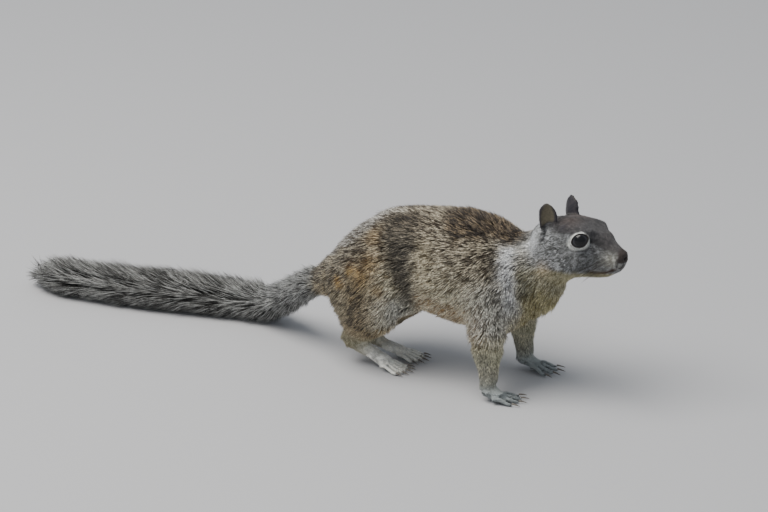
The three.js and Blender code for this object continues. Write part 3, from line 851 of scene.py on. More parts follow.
def claw_axes(name):
    """A claw's start and the way it points, with its length, half width and half height."""
    points = place_in_animal(points_of(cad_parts[name].data))
    middle = points.mean(axis=0)
    way = np.linalg.eigh(np.cov((points - middle).T))[1][:, 2]
    way = way * math.copysign(1, way[0])
    reach = (points - middle) @ way
    side = unit(np.cross([0, 0, 1.0], way))
    near = points[reach < reach.min() + 0.3 * np.ptp(reach)]
    half, tall = np.ptp(near @ side) / 2, np.ptp(near @ np.cross(way, side)) / 2
    return middle + way * reach.min(), way, np.ptp(reach), half, tall


def toe_gaps(p):
    """How deep each gap between two toes is at each point, in millimetres."""
    deep = np.zeros(len(p))
    for limb in ("fore", "hind"):
        for side in SIDES:
            names = [name for name in sorted(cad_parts) if name.startswith(f"claw_{limb}_{side}_")]
            claws = [claw_axes(name) for name in names]
            for (a, way_a, *_), (b, way_b, *_) in zip(claws[:-1], claws[1:]):
                middle, way = (a + b) / 2, unit((way_a + way_b) * [1, 1, 0])
                line = np.array([middle + way * 2.5, middle - way * 9]) * [1, 1, 0]
                gap = stripe(p * [1, 1, 0], line, 0.6)
                deep = np.maximum(deep, gap * (1 + 1.2 * rise((p - middle) @ way, -4, 1)))
    return deep * (p[:, 2] < 12)


def shaped_face(p, normal, sizes):
    """Lids round the eyes, the hollow of the ears, a full lip and chin, nostrils, and the mouth's line."""
    h = in_head(p)
    chin = bell(h[:, 0], 20, 8) * rise(-h[:, 2], 9, 13)
    lip = bell(h[:, 0], 31, 5) * bell(h[:, 2], -9.5, 3.5)
    bridge = spot(mirrored(h), (21.5, 2, 9.5), 5.5, [1, 0.7, 1])
    h = h + chin[:, None] * [0, 0, -1.3] + lip[:, None] * [1.2, 0, -0.3] + bridge[:, None] * [1.2, 0, 1.2]
    for side in SIDES:
        almond, far, way, middle = eye_opening(h, side, sizes)
        near = (far < sizes.eye_radius + 7) & (almond < 8)
        lid = sizes.eye_radius + 0.5
        hidden = sizes.eye_radius - 1.4
        over = 1 - rise(almond, 1.6, 2.4)
        outside = np.maximum(far, far + over * (lid + 0.25 * bell(almond, 1.15, 0.14) - far))
        inside = np.minimum(far, hidden)
        target = inside + rise(almond, 0.97, 1.06) * (outside - inside)
        moved = middle + way * target[:, None]
        h = np.where(near[:, None], moved, h)
    for side in SIDES:
        from_middle, to_hollow, facing = ear_sheet(h, side)
        inner = fall(from_middle, 0.3, 0.85) * rise(to_hollow, 0, 0.4) * (to_hollow < 4)
        h = h - 0.8 * inner[:, None] * facing
    q = mirrored(h)
    sink = np.zeros(len(h))
    sink += 2.0 * stripe(q, EAR_NOTCH, 1.6)
    sink += 0.8 * bell(mouth_gap(h), 0, 0.5)
    sink += 1.1 * stripe(q, NOSTRIL, 0.6)
    sink += 0.4 * stripe(h, [(36, 0, -4.2), (34.6, 0, -7.0)], 0.4)
    n = normal @ HEAD_TURN
    head = rise(h[:, 0], -30, -20)
    h = h - (sink * head)[:, None] * n
    return h @ HEAD_TURN.T + HEAD_AT


def refined(points, triangles, pick):
    """The mesh with each picked triangle cut in four, and its neighbours to suit."""
    mesh = new_mesh("refined", points, triangles)
    work = bmesh.new()
    work.from_mesh(mesh)
    work.edges.ensure_lookup_table()
    ends = np.array([[v.index for v in e.verts] for e in work.edges])
    chosen = pick[ends[:, 0]] & pick[ends[:, 1]]
    edges = [work.edges[i] for i in np.flatnonzero(chosen)]
    bmesh.ops.subdivide_edges(work, edges=edges, cuts=1, use_grid_fill=True)
    bmesh.ops.triangulate(work, faces=work.faces)
    work.to_mesh(mesh)
    work.free()
    result = points_of(mesh), triangles_of(mesh)
    bpy.data.meshes.remove(mesh)
    return result


def skin_surface(sizes):
    """The skin's points and triangles in the animal's frame: the solids closed into one, smoothed, drawn
    in by the coat's depth, with the face worked on last."""
    grown = {name: GROWN for name in FLESH}
    grown["head"] = GROWN_HEAD
    grown.update({name: GROWN_FINE for name in FLESH if "foot" in name or "ear_" in name})
    grown.update({f"eye_{side}": GROWN_FINE for side in SIDES})
    solids = joined_solids(list(grown), grown)
    closed = modified(solids, "REMESH", mode="VOXEL", voxel_size=sizes.grain * 1000)
    points, triangles = outer_part(points_of(closed), triangles_of(closed))
    ring = ring_of(triangles)
    zone = zones(points)
    toes = zone["foot"] * np.maximum(rise(-points[:, 2], -11, -6), rise(-points[:, 0], 0, 10))
    fine = np.maximum(toes, zone["ear"])
    points = faired(points, ring, np.where(toes > 0.3, 0.3, 0.9), 12)
    lips = zone["head"] * rise(in_head(points)[:, 0], 24, 29)
    points = faired(points, ring, (1 - fine) * (1 - 0.8 * lips), 40)
    points = faired(points, ring, (1 - fine) * (1 - zone["head"]), 80)
    grown_here = GROWN + zone["head"] * (GROWN_HEAD - GROWN)
    grown_here = grown_here + fine * (GROWN_FINE - grown_here)
    normal = normals_of(points, triangles)
    depth = (coat_depth(points, zone) + grown_here)[:, None]
    way = normal
    for _ in range(40):
        way = neighbour_mean(way, ring)
        depth = depth + (1 - fine)[:, None] * (neighbour_mean(depth, ring) - depth)
    way = unit(way + fine[:, None] * (normal - way))
    points = points - way * depth
    points = faired(points, ring, (1 - fine) * (1 - zone["muzzle"]), 20)
    drawn_in = new_mesh("drawn in", points, triangles)
    keep = np.maximum.reduce([zone["head"], zone["foot"], zone["ear"]])
    ratio = min(1, sizes.skin_triangles / len(triangles))
    thinned = modified(drawn_in, "DECIMATE", ratio=ratio, group=1 - 0.8 * keep, vertex_group_factor=1.0)
    points, triangles = points_of(thinned), triangles_of(thinned)
    along, way = tail_place(points)
    points = points - way * (HAIR_PAST_TAIL * rise(along, 196, 243))[:, None]
    h = in_head(points)
    muzzle = (h[:, 0] > 14) & (zones(points)["head"] > 0.5)
    points, triangles = refined(points, triangles, (from_eye(h) < 9.5) | muzzle)
    h = in_head(points)
    lips = (mouth_gap(h) < 1.8) | (h[:, 0] > 30)
    points, triangles = refined(points, triangles, (from_eye(h) < 7.5) | lips)
    points, triangles = refined(points, triangles, toe_gaps(points) > 0.1)
    points = points - toe_gaps(points)[:, None] * normals_of(points, triangles)
    points[:, 2] = np.maximum(points[:, 2], 0.2)
    points = shaped_face(points, normals_of(points, triangles), sizes)
    return points, triangles


def skin_colours(points, sizes, colours):
    zone = zones(points)
    ground, fleck, share, _ = markings(points, zone, sizes, colours)
    spots = rise(noise(points, 1.3, 21) + 0.3 * noise(points, 0.6, 22), -0.25, 0.25)
    spots = spots + zone["foot"] * (0.5 - spots)
    colour = mixed(ground, fleck, spots * share * 0.9)
    colour = colour * (0.62 + 0.38 * np.maximum.reduce([zone["foot"], zone["head"], zone["tail"]]))[:, None]
    h = in_head(points)
    for side in SIDES:
        almond, far, _, _ = eye_opening(h, side, sizes)
        close = far < sizes.eye_radius + 2.4
        rim = fall(almond, 1.07, 1.16) * close
        colour = mixed(colour, colours["eye_rim"], rim)
    # The mouth's line: partly the lips' own dark edge, partly painted shade in the crease.
    dark = bell(mouth_gap(h), 0, 0.85) * zone["head"]
    colour = mixed(colour, colours["mouth"], 0.75 * dark)
    # Painted shade: the nostrils are darkened for the shade inside them.
    nostril_shade = stripe(mirrored(h), NOSTRIL, 0.75) * zone["nose"]
    colour = colour * (1 - 0.85 * nostril_shade)[:, None]
    # Painted shade: the skin in the gaps between the toes is darkened for the shade there.
    colour = colour * (1 - 0.6 * np.minimum(toe_gaps(points), 1))[:, None]
    return colour


# ---- The coat ----

PATCH = 0.003  # how far across each tuft's patch is on the skin's map
WHISKER_WIDTH = 0.24  # in millimetres, at the root
WHISKER_DROOP = 0.35  # how far each bends down to its tip, in radians
HAIR_PAST_TAIL = 9  # how far the last hairs pass the flesh of the tail, in millimetres


def coat_length(p, zone):
    """The hairs' length in millimetres."""
    h = in_head(p)
    along = tail_place(p)[0]
    z = p[:, 2]
    head = 2.8 + 1.2 * rise(-h[:, 0], 2, 16) - 0.6 * rise(h[:, 2], 4, 12)
    near_eye = bell(from_eye(h), 0, 9)
    head = head * (1 - 0.72 * near_eye)
    head = head + rise(h[:, 0], 10, 26) * (1.6 - head)
    leg = 2.4 + 5.6 * rise(z, 18, 50)
    tail = 10 + 7 * rise(along, 20, 80) - 5 * rise(along, 190, 240)
    foot = 2.0 + 1.2 * rise(z, 4, 10)
    return blended(zone, 8.2, belly=8.0, leg=leg, foot=foot, tail=tail, head=head, ear=1.3)


def coat_density(p, zone):
    """Tufts for each square millimetre of skin."""
    h = in_head(p)
    head = 6.0 + 2.0 * rise(h[:, 0], 8, 20)
    return blended(zone, 2.3, leg=3.6, foot=6.5, tail=3.3, head=head, ear=7.0)


def sampled(weights, count, rng):
    """Indices drawn in proportion to their weights, spread evenly."""
    total = np.cumsum(weights)
    marks = (np.arange(count) + rng.random(count)) * total[-1] / count
    return np.minimum(np.searchsorted(total, marks), len(weights) - 1)


def tufts(rings, root, normal, way, length, width, lift, flop, sway, shades, mottled, place):
    """Closed three-sided locks that bend from the skin and taper to a point: their points, faces, colours,
    mottling and places on the skin's map.

    rings is how many three-sided rings each has below its tip. lift is its angle from the skin at its root,
    flop the angle at its tip, and sway how far it turns aside on the way. shades are its colours at the
    skin, halfway and at the tip. place is where its root lies on the skin's own map."""
    n = len(root)
    across = unit(np.cross(normal, way))
    levels = {1: (0, 1), 2: (0, 0.6, 1), 3: (0, 0.4, 0.74, 1)}[rings]
    spine = root - normal * 0.35
    points, colours, maps = [], [], []
    for k, level in enumerate(levels):
        if k:
            middle = (levels[k - 1] + level) / 2
            angle = lift + (flop - lift) * middle
            step = length * (level - levels[k - 1])
            run = unit(way + across * (sway * middle)[:, None])
            spine = spine + (step * np.cos(angle))[:, None] * run + (step * np.sin(angle))[:, None] * normal
        spine[:, 2] = np.maximum(spine[:, 2], 0.15 + 0.5 * level)
        first, second, third = shades.transpose(1, 0, 2)
        t = min(1.0, level / 0.55)
        u = max(0.0, (level - 0.55) / 0.45)
        colour = mixed(mixed(first, second, t), third, u)
        if level == 1:
            points.append(spine[:, None])
            colours.append(colour[:, None])
            maps.append(place[:, None] + [0, PATCH / 2])
            continue
        half = (width / 2 * (0.8 + 0.8 * level - 1.3 * level**2))[:, None]
        thick = half * 0.7
        low = normal * thick * 0.4
        corners = [spine - across * half - low, spine + across * half - low, spine + normal * thick * 0.8]
        points.append(np.stack(corners, axis=1))
        colours.append(np.repeat(colour[:, None], 3, axis=1))
        spread = np.array([[-PATCH / 2, 0], [PATCH / 2, 0], [0, 0]]) + [0, PATCH * (level - 0.5)]
        maps.append(place[:, None] + spread)
    faces = [(0, 1, 2)]
    for ring in range(rings - 1):
        low, high = ring * 3, ring * 3 + 3
        for a, b in ((0, 1), (1, 2), (2, 0)):
            faces += [(low + b, low + a, high + a), (low + b, high + a, high + b)]
    last, tip = (rings - 1) * 3, rings * 3
    faces += [(last + b, last + a, tip) for a, b in ((0, 1), (1, 2), (2, 0))]
    each = rings * 3 + 1
    faces = np.array(faces)[None] + (np.arange(n) * each)[:, None, None]
    points = np.concatenate(points, axis=1).reshape(-1, 3)
    points[:, 2] = np.maximum(points[:, 2], 0.05)
    colours = np.concatenate(colours, axis=1).reshape(-1, 3)
    maps = np.concatenate(maps, axis=1).reshape(-1, 2)
    return [points, faces.reshape(-1, 3), colours, np.repeat(mottled, each), maps]


def map_of(skin):
    """For each corner of the skin's faces: its vertex, and its place on the skin's map."""
    vertex = read_rows(skin.loops, "vertex_index", 1, np.int32)
    return vertex[:, 0], read_rows(skin.uv_layers["OFBake"].data, "uv", 2)


def roots_on(skin, sizes, rng):
    """Where each tuft grows: its place, the skin's normal there, and its place on the skin's map."""
    points = place_in_animal(points_of(skin))
    triangles = triangles_of(skin)
    normal = normals_of(points, triangles)
    zone = zones(points)
    density = coat_density(points, zone)
    h = in_head(points)
    bare = np.maximum(zone["nose"], zone["head"] * fall(mouth_gap(h), 0.5, 0.95))
    bare = np.maximum(bare, toe_gaps(points) > 0.4)
    for side in SIDES:
        almond, far, _, _ = eye_opening(h, side, sizes)
        bare = np.maximum(bare, fall(almond, 1.08, 1.18) * (far < sizes.eye_radius + 2))
    sole = (points[:, 2] < 3) * rise(-normal[:, 2], 0.5, 0.8) * np.maximum(zone["foot"], zone["tail"])
    density = density * (1 - np.clip(np.maximum(bare, sole), 0, 1))
    corner = points[triangles]
    area = np.linalg.norm(np.cross(corner[:, 1] - corner[:, 0], corner[:, 2] - corner[:, 0]), axis=1) / 2
    weight = area * density[triangles].mean(axis=1) * (density[triangles].min(axis=1) > 0.3)
    count = int(weight.sum() * sizes.fullness)
    pick = sampled(weight, count, rng)
    r = rng.random((2, count))
    edge = np.sqrt(r[0])
    share = np.stack([1 - edge, edge * (1 - r[1]), edge * r[1]], axis=1)
    corners = triangles[pick]
    place = np.einsum("nk,nkd->nd", share, points[corners])
    way_out = unit(np.einsum("nk,nkd->nd", share, normal[corners]))
    loops = read_rows(skin.loop_triangles, "loops", 3, np.int32)
    on_map = np.einsum("nk,nkd->nd", share, map_of(skin)[1][loops[pick]])
    return place, way_out, on_map


def agouti(p, zone, rng, sizes, colours):
    """Each tuft's colours at its root, halfway and at its tip. Pale-tipped locks lie among dark ones."""
    ground, fleck, share, run = markings(p, zone, sizes, colours)
    n = len(p)
    coarse = 0.5 * noise(p, 1.8, 31) + 0.5 * noise(p, 1.0, 32)
    fine = 0.5 * noise(p, 0.9, 35) + 0.3 * noise(p, 2.0, 36)
    small = np.maximum.reduce([zone["head"], zone["foot"], zone["leg"] * rise(-p[:, 2], -54, -24)])
    spots = coarse + small * (fine - coarse) + 0.5 * (rng.random(n) * 2 - 1)
    pale = rise(spots - (0.5 - share) * 1.3, -0.14, 0.14)
    tone = 1 + 0.14 * (rng.random(n) * 2 - 1) + 0.08 * noise(p, 6, 33)
    body = mixed(ground, fleck, pale)
    root = ground * 0.5
    middle = mixed(ground, fleck, pale * (0.5 + 0.4 * small)) * tone[:, None]
    dark_tip = (rng.random(n) < 0.15) * (1 - small)
    tip = body * (tone * (1.08 - 0.45 * dark_tip))[:, None]
    bands = np.sin(run / (sizes.tail_band * 1000) * 2 * np.pi + 1.6 * noise(p, 9, 34) + 1.0)
    hair = rng.random(n) + 0.1 * bands + 0.24 * noise(p, 3, 37) - 0.2 * bell(run, 20, 40)
    hair = hair + 0.16 * bell(run, 130, 60)
    tail_dark, tail_pale = colours["tail_dark"], colours["tail_pale"]
    tail_root = tail_dark * 1.5
    tail_mid = np.where((hair < 0.5)[:, None], tail_pale * 0.8, tail_dark)
    tail_tip = np.where((hair < 0.42)[:, None], tail_pale, tail_dark * 0.8)
    root = mixed(root, tail_root, zone["tail"])
    middle = mixed(middle, tail_mid, zone["tail"])
    tip = mixed(tip, tail_tip * tone[:, None], zone["tail"])
    return np.stack([root, middle, tip], axis=1)


def grow_whiskers(skin, colours):
    """Long dark whiskers in three rows on each side of the muzzle."""
    rng = np.random.default_rng(11)
    points = place_in_animal(points_of(skin))
    normal = normals_of(points, triangles_of(skin))
    h = in_head(points)
    rows = [(29.5 - 2.2 * k, 7.0, -2.4 - 1.7 * row) for row in range(3) for k in range(4)]
    roots, ways, outward, places = [], [], [], []
    corners, on_map = map_of(skin)
    for side in (1, -1):
        for place in rows:
            nearest = np.argmin(np.linalg.norm(h - np.array(place) * [1, side, 1], axis=1))
            way = np.array([-0.35, side, -0.28]) + 0.12 * rng.standard_normal(3)
            roots.append(points[nearest])
            places.append(on_map[np.argmax(corners == nearest)])
            outward.append(normal[nearest])
            ways.append(unit(way) @ HEAD_TURN.T)
    n = len(roots)
    root, way, normal = np.array(roots), np.array(ways), np.array(outward)
    level = unit(way - np.sum(way * normal, axis=1, keepdims=True) * normal)
    lift = np.arcsin(np.clip(np.sum(way * normal, axis=1), 0.1, 0.9))
    length = 20 + 7 * rng.random(n)
    shades = np.tile(np.outer([1, 1, 1.4], colours["whisker"]), (n, 1, 1))
    none = np.zeros(n)
    width = none + WHISKER_WIDTH
    flop = lift - WHISKER_DROOP
    return tufts(3, root, normal, level, length, width, lift, flop, none, shades, none, np.array(places))


def grow_coat(skin, sizes, colours):
    """All the tufts, layer by layer."""
    rng = np.random.default_rng(7)
    root, normal, place = roots_on(skin, sizes, rng)
    n = len(root)
    zone = zones(root)
    length = coat_length(root, zone)
    depth = np.minimum(coat_depth(root, zone), np.where(zone["tail"] > 0.5, 9.0, 5.4))
    way = coat_lie(root, normal)
    across = np.cross(normal, way)
    turn = (0.22 - 0.12 * zone["tail"]) * noise(root, 5, 11) + 0.14 * noise(root, 2.2, 12)
    turn = turn + (0.14 + 0.08 * zone["tail"]) * (rng.random(n) * 2 - 1)
    way = unit(way + across * turn[:, None])
    length = length * (1 + 0.14 * noise(root, 4, 13) + 0.12 * (rng.random(n) * 2 - 1))
    stray = zone["tail"] * (rng.random(n) < 0.25) * rise(normal[:, 2], 0, 0.6)
    stray = np.maximum(stray, 0.6 * (rng.random(n) < 0.1) * (1 - zone["head"]) * (1 - zone["foot"]))
    length = length * (1 + 0.3 * stray)
    climb = np.clip(depth / np.maximum(length, 0.1), 0.05, 0.75)
    mean_angle = np.arcsin(climb)
    lift = mean_angle * (1.5 + 0.2 * (rng.random(n) * 2 - 1)) + 0.05
    flop = mean_angle * (0.5 + 0.35 * zone["tail"] + 0.5 * stray + 0.3 * (rng.random(n) * 2 - 1))
    sway = 0.3 * noise(root, 3, 14) * (1 - 0.5 * zone["tail"])
    width = blended(zone, 0.58, leg=0.4, foot=0.34, tail=0.42, head=0.33, ear=0.3)
    shades = agouti(root, zone, rng, sizes, colours)
    hairs = (root, normal, way, length, width, lift, flop, sway, shades, mottling(zone), place)
    rings = np.where(length > 2.9, 2, 1)
    layer = rng.integers(0, sizes.layers, n)
    for number in range(sizes.layers):
        parts, start = [], 0
        for count in (1, 2):
            picked = (rings == count) & (layer == number)
            part = tufts(count, *(values[picked] for values in hairs))
            part[1] = part[1] + start
            start += len(part[0])
            parts.append(part)
        yield [np.concatenate(column) for column in zip(*parts)]


# ---- What a user may change ----


def linear(colour):
    """A colour as it looks on screen, from 0 to 255, as the linear numbers that a colour property keeps."""
    return tuple(((v / 255 + 0.055) / 1.055) ** 2.4 if v > 10 else v / 255 / 12.92 for v in colour)


def colour_property(name, description, colour):
    return bpy.props.FloatVectorProperty(
        name=name, description=description, subtype="COLOR", size=3, min=0, max=1, default=linear(colour)
    )


class SquirrelSizes(bpy.types.PropertyGroup):
    """The squirrel's sizes."""

    grain: bpy.props.FloatProperty(
        name="Skin grain",
        description="Size of the cells that close the solids into one skin",
        default=0.0008,
        unit="LENGTH",
        precision=5,
    )
    skin_triangles: bpy.props.IntProperty(
        name="Skin triangles", description="About how many triangles the skin keeps", default=100000
    )
    eye_radius: bpy.props.FloatProperty(
        name="Eye radius", description="Radius of each eyeball, in millimetres", default=6.0
    )
    eye_width: bpy.props.FloatProperty(
        name="Eye width", description="Width of the opening between the lids, in millimetres", default=9.2
    )
    eye_height: bpy.props.FloatProperty(
        name="Eye height", description="Height of the opening between the lids, in millimetres", default=7.2
    )
    fullness: bpy.props.FloatProperty(
        name="Fullness", description="How dense the coat is", default=1.0, min=0.1, max=1.5
    )
    layers: bpy.props.IntProperty(
        name="Coat layers", description="How many pieces the coat is made in", default=8, min=1
    )
    tail_band: bpy.props.FloatProperty(
        name="Tail band",
        description="Length of one pale and dark band of the tail",
        default=0.034,
        unit="LENGTH",
    )
    lens: bpy.props.FloatProperty(name="Lens", description="Focal length of the camera", default=186.0)
    distance: bpy.props.FloatProperty(
        name="Distance", description="From the camera to the animal", default=2.5, unit="LENGTH"
    )
    azimuth: bpy.props.FloatProperty(
        name="Azimuth",
        description="How far the camera stands round to the animal's front",
        default=math.radians(27),
        subtype="ANGLE",
    )
    elevation: bpy.props.FloatProperty(
        name="Elevation",
        description="How far above the horizon the camera stands",
        default=math.radians(20),
        subtype="ANGLE",
    )


# Each region of the coat: its label, where its hairs are, and their dark and pale colours.
REGIONS = {
    "back": ("Back", "of the back", (70, 61, 50), (216, 206, 182)),
    "flank": ("Flank", "of the flank", (114, 103, 78), (244, 236, 210)),
    "haunch": ("Haunch", "of the haunch", (52, 42, 31), (186, 167, 130)),
    "rust": ("Rust", "of the rusty patches", (120, 91, 52), (216, 178, 104)),
    "saddle": ("Wedge", "between the shoulders", (46, 39, 33), (152, 134, 108)),
    "silver": ("Silver", "of the shoulder stripe", (142, 142, 140), (242, 244, 246)),
    "neck": ("Neck", "of the neck's sides", (66, 66, 56), (160, 160, 146)),
    # The fold's two colours are painted shade, for the creases before each haunch and behind each shoulder.
    "fold": ("Fold", "where the body folds in", (58, 54, 48), (120, 112, 98)),
    "shoulder": ("Shoulder", "of the shoulder", (122, 120, 114), (228, 228, 222)),
    "groin": ("Groin", "before the thigh", (148, 146, 136), (220, 218, 208)),
    "belly": ("Belly", "of the belly", (164, 134, 94), (236, 228, 204)),
    "chest": ("Chest", "of the chest", (134, 124, 86), (208, 200, 160)),
    "arm": ("Foreleg", "of the forelegs", (140, 138, 112), (200, 197, 170)),
    "shank": ("Shank", "of the lower hind legs", (118, 98, 70), (186, 172, 140)),
    "foot": ("Hind foot", "of the hind feet", (236, 236, 226), (252, 250, 244)),
    # The forefoot colours are the feet's pale colours darkened as painted shade.
    "fore_foot": ("Forefoot", "of the forefeet", (116, 120, 118), (190, 198, 200)),
    "tail": ("Tail", "of the tail", (44, 43, 41), (178, 179, 176)),
    "cheek": ("Cheek", "of the cheeks", (90, 91, 89), (194, 196, 198)),
    "crown": ("Crown", "of the crown", (50, 51, 53), (90, 88, 90)),
    "scalp": ("Scalp", "between the ears", (70, 60, 57), (118, 106, 102)),
    "peach": ("Jaw", "behind the jaw", (150, 132, 106), (214, 198, 168)),
    "muzzle": ("Muzzle", "on top of the muzzle", (60, 58, 59), (98, 95, 94)),
    "lip": ("Lip", "of the lips and chin", (114, 112, 104), (172, 172, 164)),
    "ear": ("Ear", "of the ears", (40, 38, 44), (72, 67, 68)),
}
# What has one colour of its own.
PLAIN = {
    "rib_pale": ("Rib fleck", "Pale hairs over the last ribs", (232, 220, 190)),
    "ear_inside": ("Ear inside", "The hollow of the ears", (92, 86, 72)),
    "whisker": ("Whiskers", "The whiskers", (44, 40, 36)),
    "nose": ("Nose", "The bare nose", (50, 43, 41)),
    # The mouth colour is partly the lips' own dark edge and partly painted shade in the crease between them.
    "mouth": ("Mouth", "The line between the lips", (62, 44, 34)),
    # This colour is the lids' own bare rim, and is also painted as shade in the lower hollow and the opening
    # of each ear.
    "eye_rim": ("Eyelid rim", "The bare rims of the lids", (26, 22, 20)),
    "eye_ring": ("Eye ring", "The pale ring round each eye", (204, 205, 201)),
    # The iris is near black, with a faint blue tint that is painted reflection of the sky.
    "iris": ("Iris", "The eyes", (42, 42, 46)),
    "claw": ("Claw", "The claws at their roots", (124, 117, 108)),
}


def coat_properties():
    """Two colours for each region, and one for each of the rest."""
    made = {}
    for name, (label, where, dark, pale) in REGIONS.items():
        made[name + "_dark"] = colour_property(label + " ground", "Dark hairs " + where, dark)
        made[name + "_pale"] = colour_property(label + " fleck", "Pale hairs " + where, pale)
    for name, (label, meaning, colour) in PLAIN.items():
        made[name] = colour_property(label, meaning, colour)
    return made


class SquirrelColours(bpy.types.PropertyGroup):
    """The coat's colours: a dark ground and a pale fleck for each region."""

    __annotations__ = coat_properties()


def colours_of(context):
    group = context.scene.squirrel_colours
    return {name: np.array(getattr(group, name)) for name in SquirrelColours.__annotations__}


# ---- The pieces ----

LAMP_AT = Vector((-0.5, -0.7, 1.9))  # in metres from the middle of the row
AIM = (-55.0, 10.0, 66.3)  # what the camera looks at, in the animal's frame


def tuft_piece(name, grown, finish):
    """A piece of grown tufts, each on its own patch of the skin's map."""
    points, triangles, colour, mottled, on_map = grown
    mesh = new_mesh(name, place_in_row(points), triangles)
    paint(mesh, colour, mottled)
    layer = mesh.uv_layers.new(name="OFBake")
    layer.data.foreach_set("uv", on_map[triangles.ravel()].astype(np.float32).ravel())
    new_piece(name, mesh, finish)


class SQUIRREL_OT_skin(bpy.types.Operator):
    """Close the solids of flesh into one skin, and work the face on it"""

    bl_idname = "squirrel.skin"
    bl_label = "Skin"

    def execute(self, context):
        sizes = context.scene.squirrel_sizes
        points, triangles = skin_surface(sizes)
        mesh = new_mesh("skin", place_in_row(points), triangles)
        paint(mesh, skin_colours(points, sizes, colours_of(context)), mottling(zones(points)))
        finish = fur_finish("Short fur", grain=2600, streak=0.16, roughness=0.72, bump=0.5)
        skin = new_piece("skin", mesh, finish)
        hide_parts(*FLESH)
        bpy.ops.object.select_all(action="DESELECT")
        context.view_layer.objects.active = skin
        skin.select_set(True)
        mesh.uv_layers.new(name="OFBake")
        bpy.ops.object.mode_set(mode="EDIT")
        bpy.ops.mesh.select_all(action="SELECT")
        bpy.ops.uv.smart_project(angle_limit=math.radians(70), island_margin=0.002)
        bpy.ops.object.mode_set(mode="OBJECT")
        return {"FINISHED"}


class SQUIRREL_OT_coat(bpy.types.Operator):
    """Grow the coat over the skin, as several layers of tapered locks"""

    bl_idname = "squirrel.coat"
    bl_label = "Coat"

    def execute(self, context):
        sizes = context.scene.squirrel_sizes
        skin = bpy.data.objects["skin"].data
        finish = fur_finish("Guard hair", grain=5200, streak=0.1, roughness=0.62, bump=0.15)
        for number, grown in enumerate(grow_coat(skin, sizes, colours_of(context)), 1):
            tuft_piece(f"coat_{number}", grown, finish)
        return {"FINISHED"}


class SQUIRREL_OT_whiskers(bpy.types.Operator):
    """Set the whiskers in rows on both sides of the muzzle"""

    bl_idname = "squirrel.whiskers"
    bl_label = "Whiskers"

    def execute(self, context):
        grown = grow_whiskers(bpy.data.objects["skin"].data, colours_of(context))
        tuft_piece("whiskers", grown, bpy.data.materials["Horn"])
        return {"FINISHED"}


class SQUIRREL_OT_eyes(bpy.types.Operator):
    """Set a dark glossy ball in each eye socket"""

    bl_idname = "squirrel.eyes"
    bl_label = "Eyes"

    def execute(self, context):
        sizes = context.scene.squirrel_sizes
        iris = colours_of(context)["iris"]
        finish = eye_finish("Eye")
        for side in SIDES:
            middle, _, _, outward = eye_axes(side)
            work = bmesh.new()
            bmesh.ops.create_icosphere(work, subdivisions=5, radius=1)
            mesh = bpy.data.meshes.new(f"eyeball_{side}")
            work.to_mesh(mesh)
            work.free()
            ball = points_of(mesh)
            facing = ball @ outward
            # The blue in the iris colour is painted reflection of the sky; the darker middle is the pupil.
            colour = iris * (0.2 + 0.8 * rise(-facing, -0.86, -0.78))[:, None]
            ball = ball * (1 + 0.02 * rise(facing, 0.8, 1.0))[:, None]
            points = place_in_row(from_head(ball * sizes.eye_radius + middle))
            mesh.vertices.foreach_set("co", points.astype(np.float32).ravel())
            paint(mesh, colour)
            piece = new_piece(f"eyeball_{side}", mesh, finish)
            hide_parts(f"eye_{side}")
        return {"FINISHED"}


class SQUIRREL_OT_claws(bpy.types.Operator):
    """Shape each claw as a curved, tapered hook"""

    bl_idname = "squirrel.claws"
    bl_label = "Claws"

    def execute(self, context):
        horn = colours_of(context)["claw"]
        finish = horn_finish("Horn")
        count, around = 9, 12  # rings along a claw, and points on each
        turns = np.linspace(0, 2 * np.pi, around, endpoint=False)
        for name in sorted(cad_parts):
            if not name.startswith("claw_"):
                continue
            start, way, length, half, tall = claw_axes(name)
            side = unit(np.cross([0, 0, 1.0], way))
            up = np.cross(way, side)
            half, tall = 0.5 * max(0.45, half), 0.66 * max(0.5, tall)
            rings = []
            for level in np.linspace(0, 1, count):
                taper = max(0.1, math.sqrt(1 - level**1.7) * (1 - 0.35 * level))
                arch = 0.35 * tall * math.sin(level * math.pi * 0.9)
                centre = start + way * (level * length) + up * arch
                ring = centre + np.outer(np.cos(turns) * half * taper, side)
                rings.append(ring + np.outer(np.sin(turns) * tall * taper, up))
            hook = np.concatenate(rings)
            hook[:, 2] = np.maximum(hook[:, 2], 0.02)
            faces = []
            for ring in range(0, (count - 1) * around, around):
                for k in range(around):
                    a, b = ring + k, ring + (k + 1) % around
                    faces += [(a, b, b + around), (a, b + around, a + around)]
            last = (count - 1) * around
            faces += [(0, k + 1, k) for k in range(1, around - 1)]
            faces += [(last, last + k, last + k + 1) for k in range(1, around - 1)]
            mesh = new_mesh(name + "_horn", place_in_row(hook), np.array(faces))
            tone = np.repeat(np.linspace(0, 1, count), around)[:, None]
            paint(mesh, horn * (1 - 0.55 * tone))
            piece = new_piece(name + "_horn", mesh, finish)
            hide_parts(name)
        return {"FINISHED"}


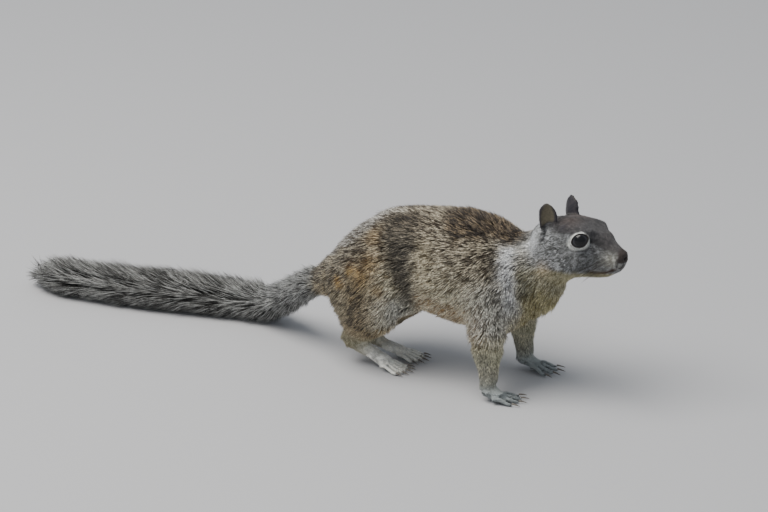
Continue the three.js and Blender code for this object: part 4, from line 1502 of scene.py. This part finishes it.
class SQUIRREL_OT_stage(bpy.types.Operator):
    """Lay a plain pale floor, and set soft studio light and the camera"""

    bl_idname = "squirrel.stage"
    bl_label = "Stage"

    def execute(self, context):
        sizes = context.scene.squirrel_sizes
        scene = context.scene
        floor_mesh = bpy.data.meshes.new("floor")
        r = 6.0  # half the floor's width, in metres
        floor_mesh.from_pydata([(-r, -r, 0), (r, -r, 0), (r, r, 0), (-r, r, 0)], [], [(0, 1, 2, 3)])
        floor = new_object("floor", floor_mesh)
        material, _, shader = finish_nodes("Pale floor")
        settle(shader, {"Base Color": (0.46, 0.46, 0.47, 1), "Roughness": 0.9})
        floor_mesh.materials.append(material)

        world = bpy.data.worlds.new("Soft light")
        scene.world = world
        world.use_nodes = True
        settle(world.node_tree.nodes["Background"], {"Color": (0.86, 0.92, 1.0, 1), "Strength": 0.55})
        lamp_data = bpy.data.lights.new("Softbox", "AREA")
        lamp_data.energy = 66
        lamp_data.size = 1.6
        lamp_data.color = (1.0, 0.97, 0.92)
        lamp = new_object("Softbox", lamp_data)
        lamp.location = LAMP_AT
        lamp.rotation_euler = LAMP_AT.to_track_quat("Z", "Y").to_euler()

        turn, tip = sizes.azimuth, sizes.elevation
        back = Vector((math.sin(turn) * math.cos(tip), -math.cos(turn) * math.cos(tip), math.sin(tip)))
        right = Vector((math.cos(turn), math.sin(turn), 0))
        up = back.cross(right)
        target = Vector(place_in_row(AIM))
        camera_data = bpy.data.cameras.new("Camera")
        camera_data.lens = sizes.lens
        camera_data.sensor_width = 36
        camera_data.clip_end = 50
        camera = new_object("Camera", camera_data)
        facing = Matrix((right, up, back)).transposed().to_4x4()
        camera.matrix_world = Matrix.Translation(target + back * sizes.distance) @ facing
        scene.camera = camera
        return {"FINISHED"}


PIECES = (
    SQUIRREL_OT_skin,
    SQUIRREL_OT_eyes,
    SQUIRREL_OT_claws,
    SQUIRREL_OT_whiskers,
    SQUIRREL_OT_coat,
    SQUIRREL_OT_stage,
)


class SQUIRREL_PT_panel(bpy.types.Panel):
    """The squirrel's pieces, in the order they are made"""

    bl_idname = "SQUIRREL_PT_panel"
    bl_label = "Ground squirrel"
    bl_space_type = "VIEW_3D"
    bl_region_type = "UI"
    bl_category = "Squirrel"

    def draw(self, context):
        column = self.layout.column()
        for piece in PIECES:
            column.operator(piece.bl_idname)
        for group in (context.scene.squirrel_sizes, context.scene.squirrel_colours):
            for name in type(group).__annotations__:
                column.prop(group, name)


CLASSES = (SquirrelSizes, SquirrelColours, *PIECES, SQUIRREL_PT_panel)


def register():
    for cls in CLASSES:
        bpy.utils.register_class(cls)
    bpy.types.Scene.squirrel_sizes = bpy.props.PointerProperty(type=SquirrelSizes)
    bpy.types.Scene.squirrel_colours = bpy.props.PointerProperty(type=SquirrelColours)


def unregister():
    del bpy.types.Scene.squirrel_colours
    del bpy.types.Scene.squirrel_sizes
    for cls in reversed(CLASSES):
        bpy.utils.unregister_class(cls)


def main():
    register()
    bpy.ops.squirrel.stage()
    bpy.ops.squirrel.skin()
    bpy.ops.squirrel.eyes()
    bpy.ops.squirrel.claws()
    bpy.ops.squirrel.whiskers()
    bpy.ops.squirrel.coat()
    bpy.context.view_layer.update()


if __name__ == "__main__":
    main()
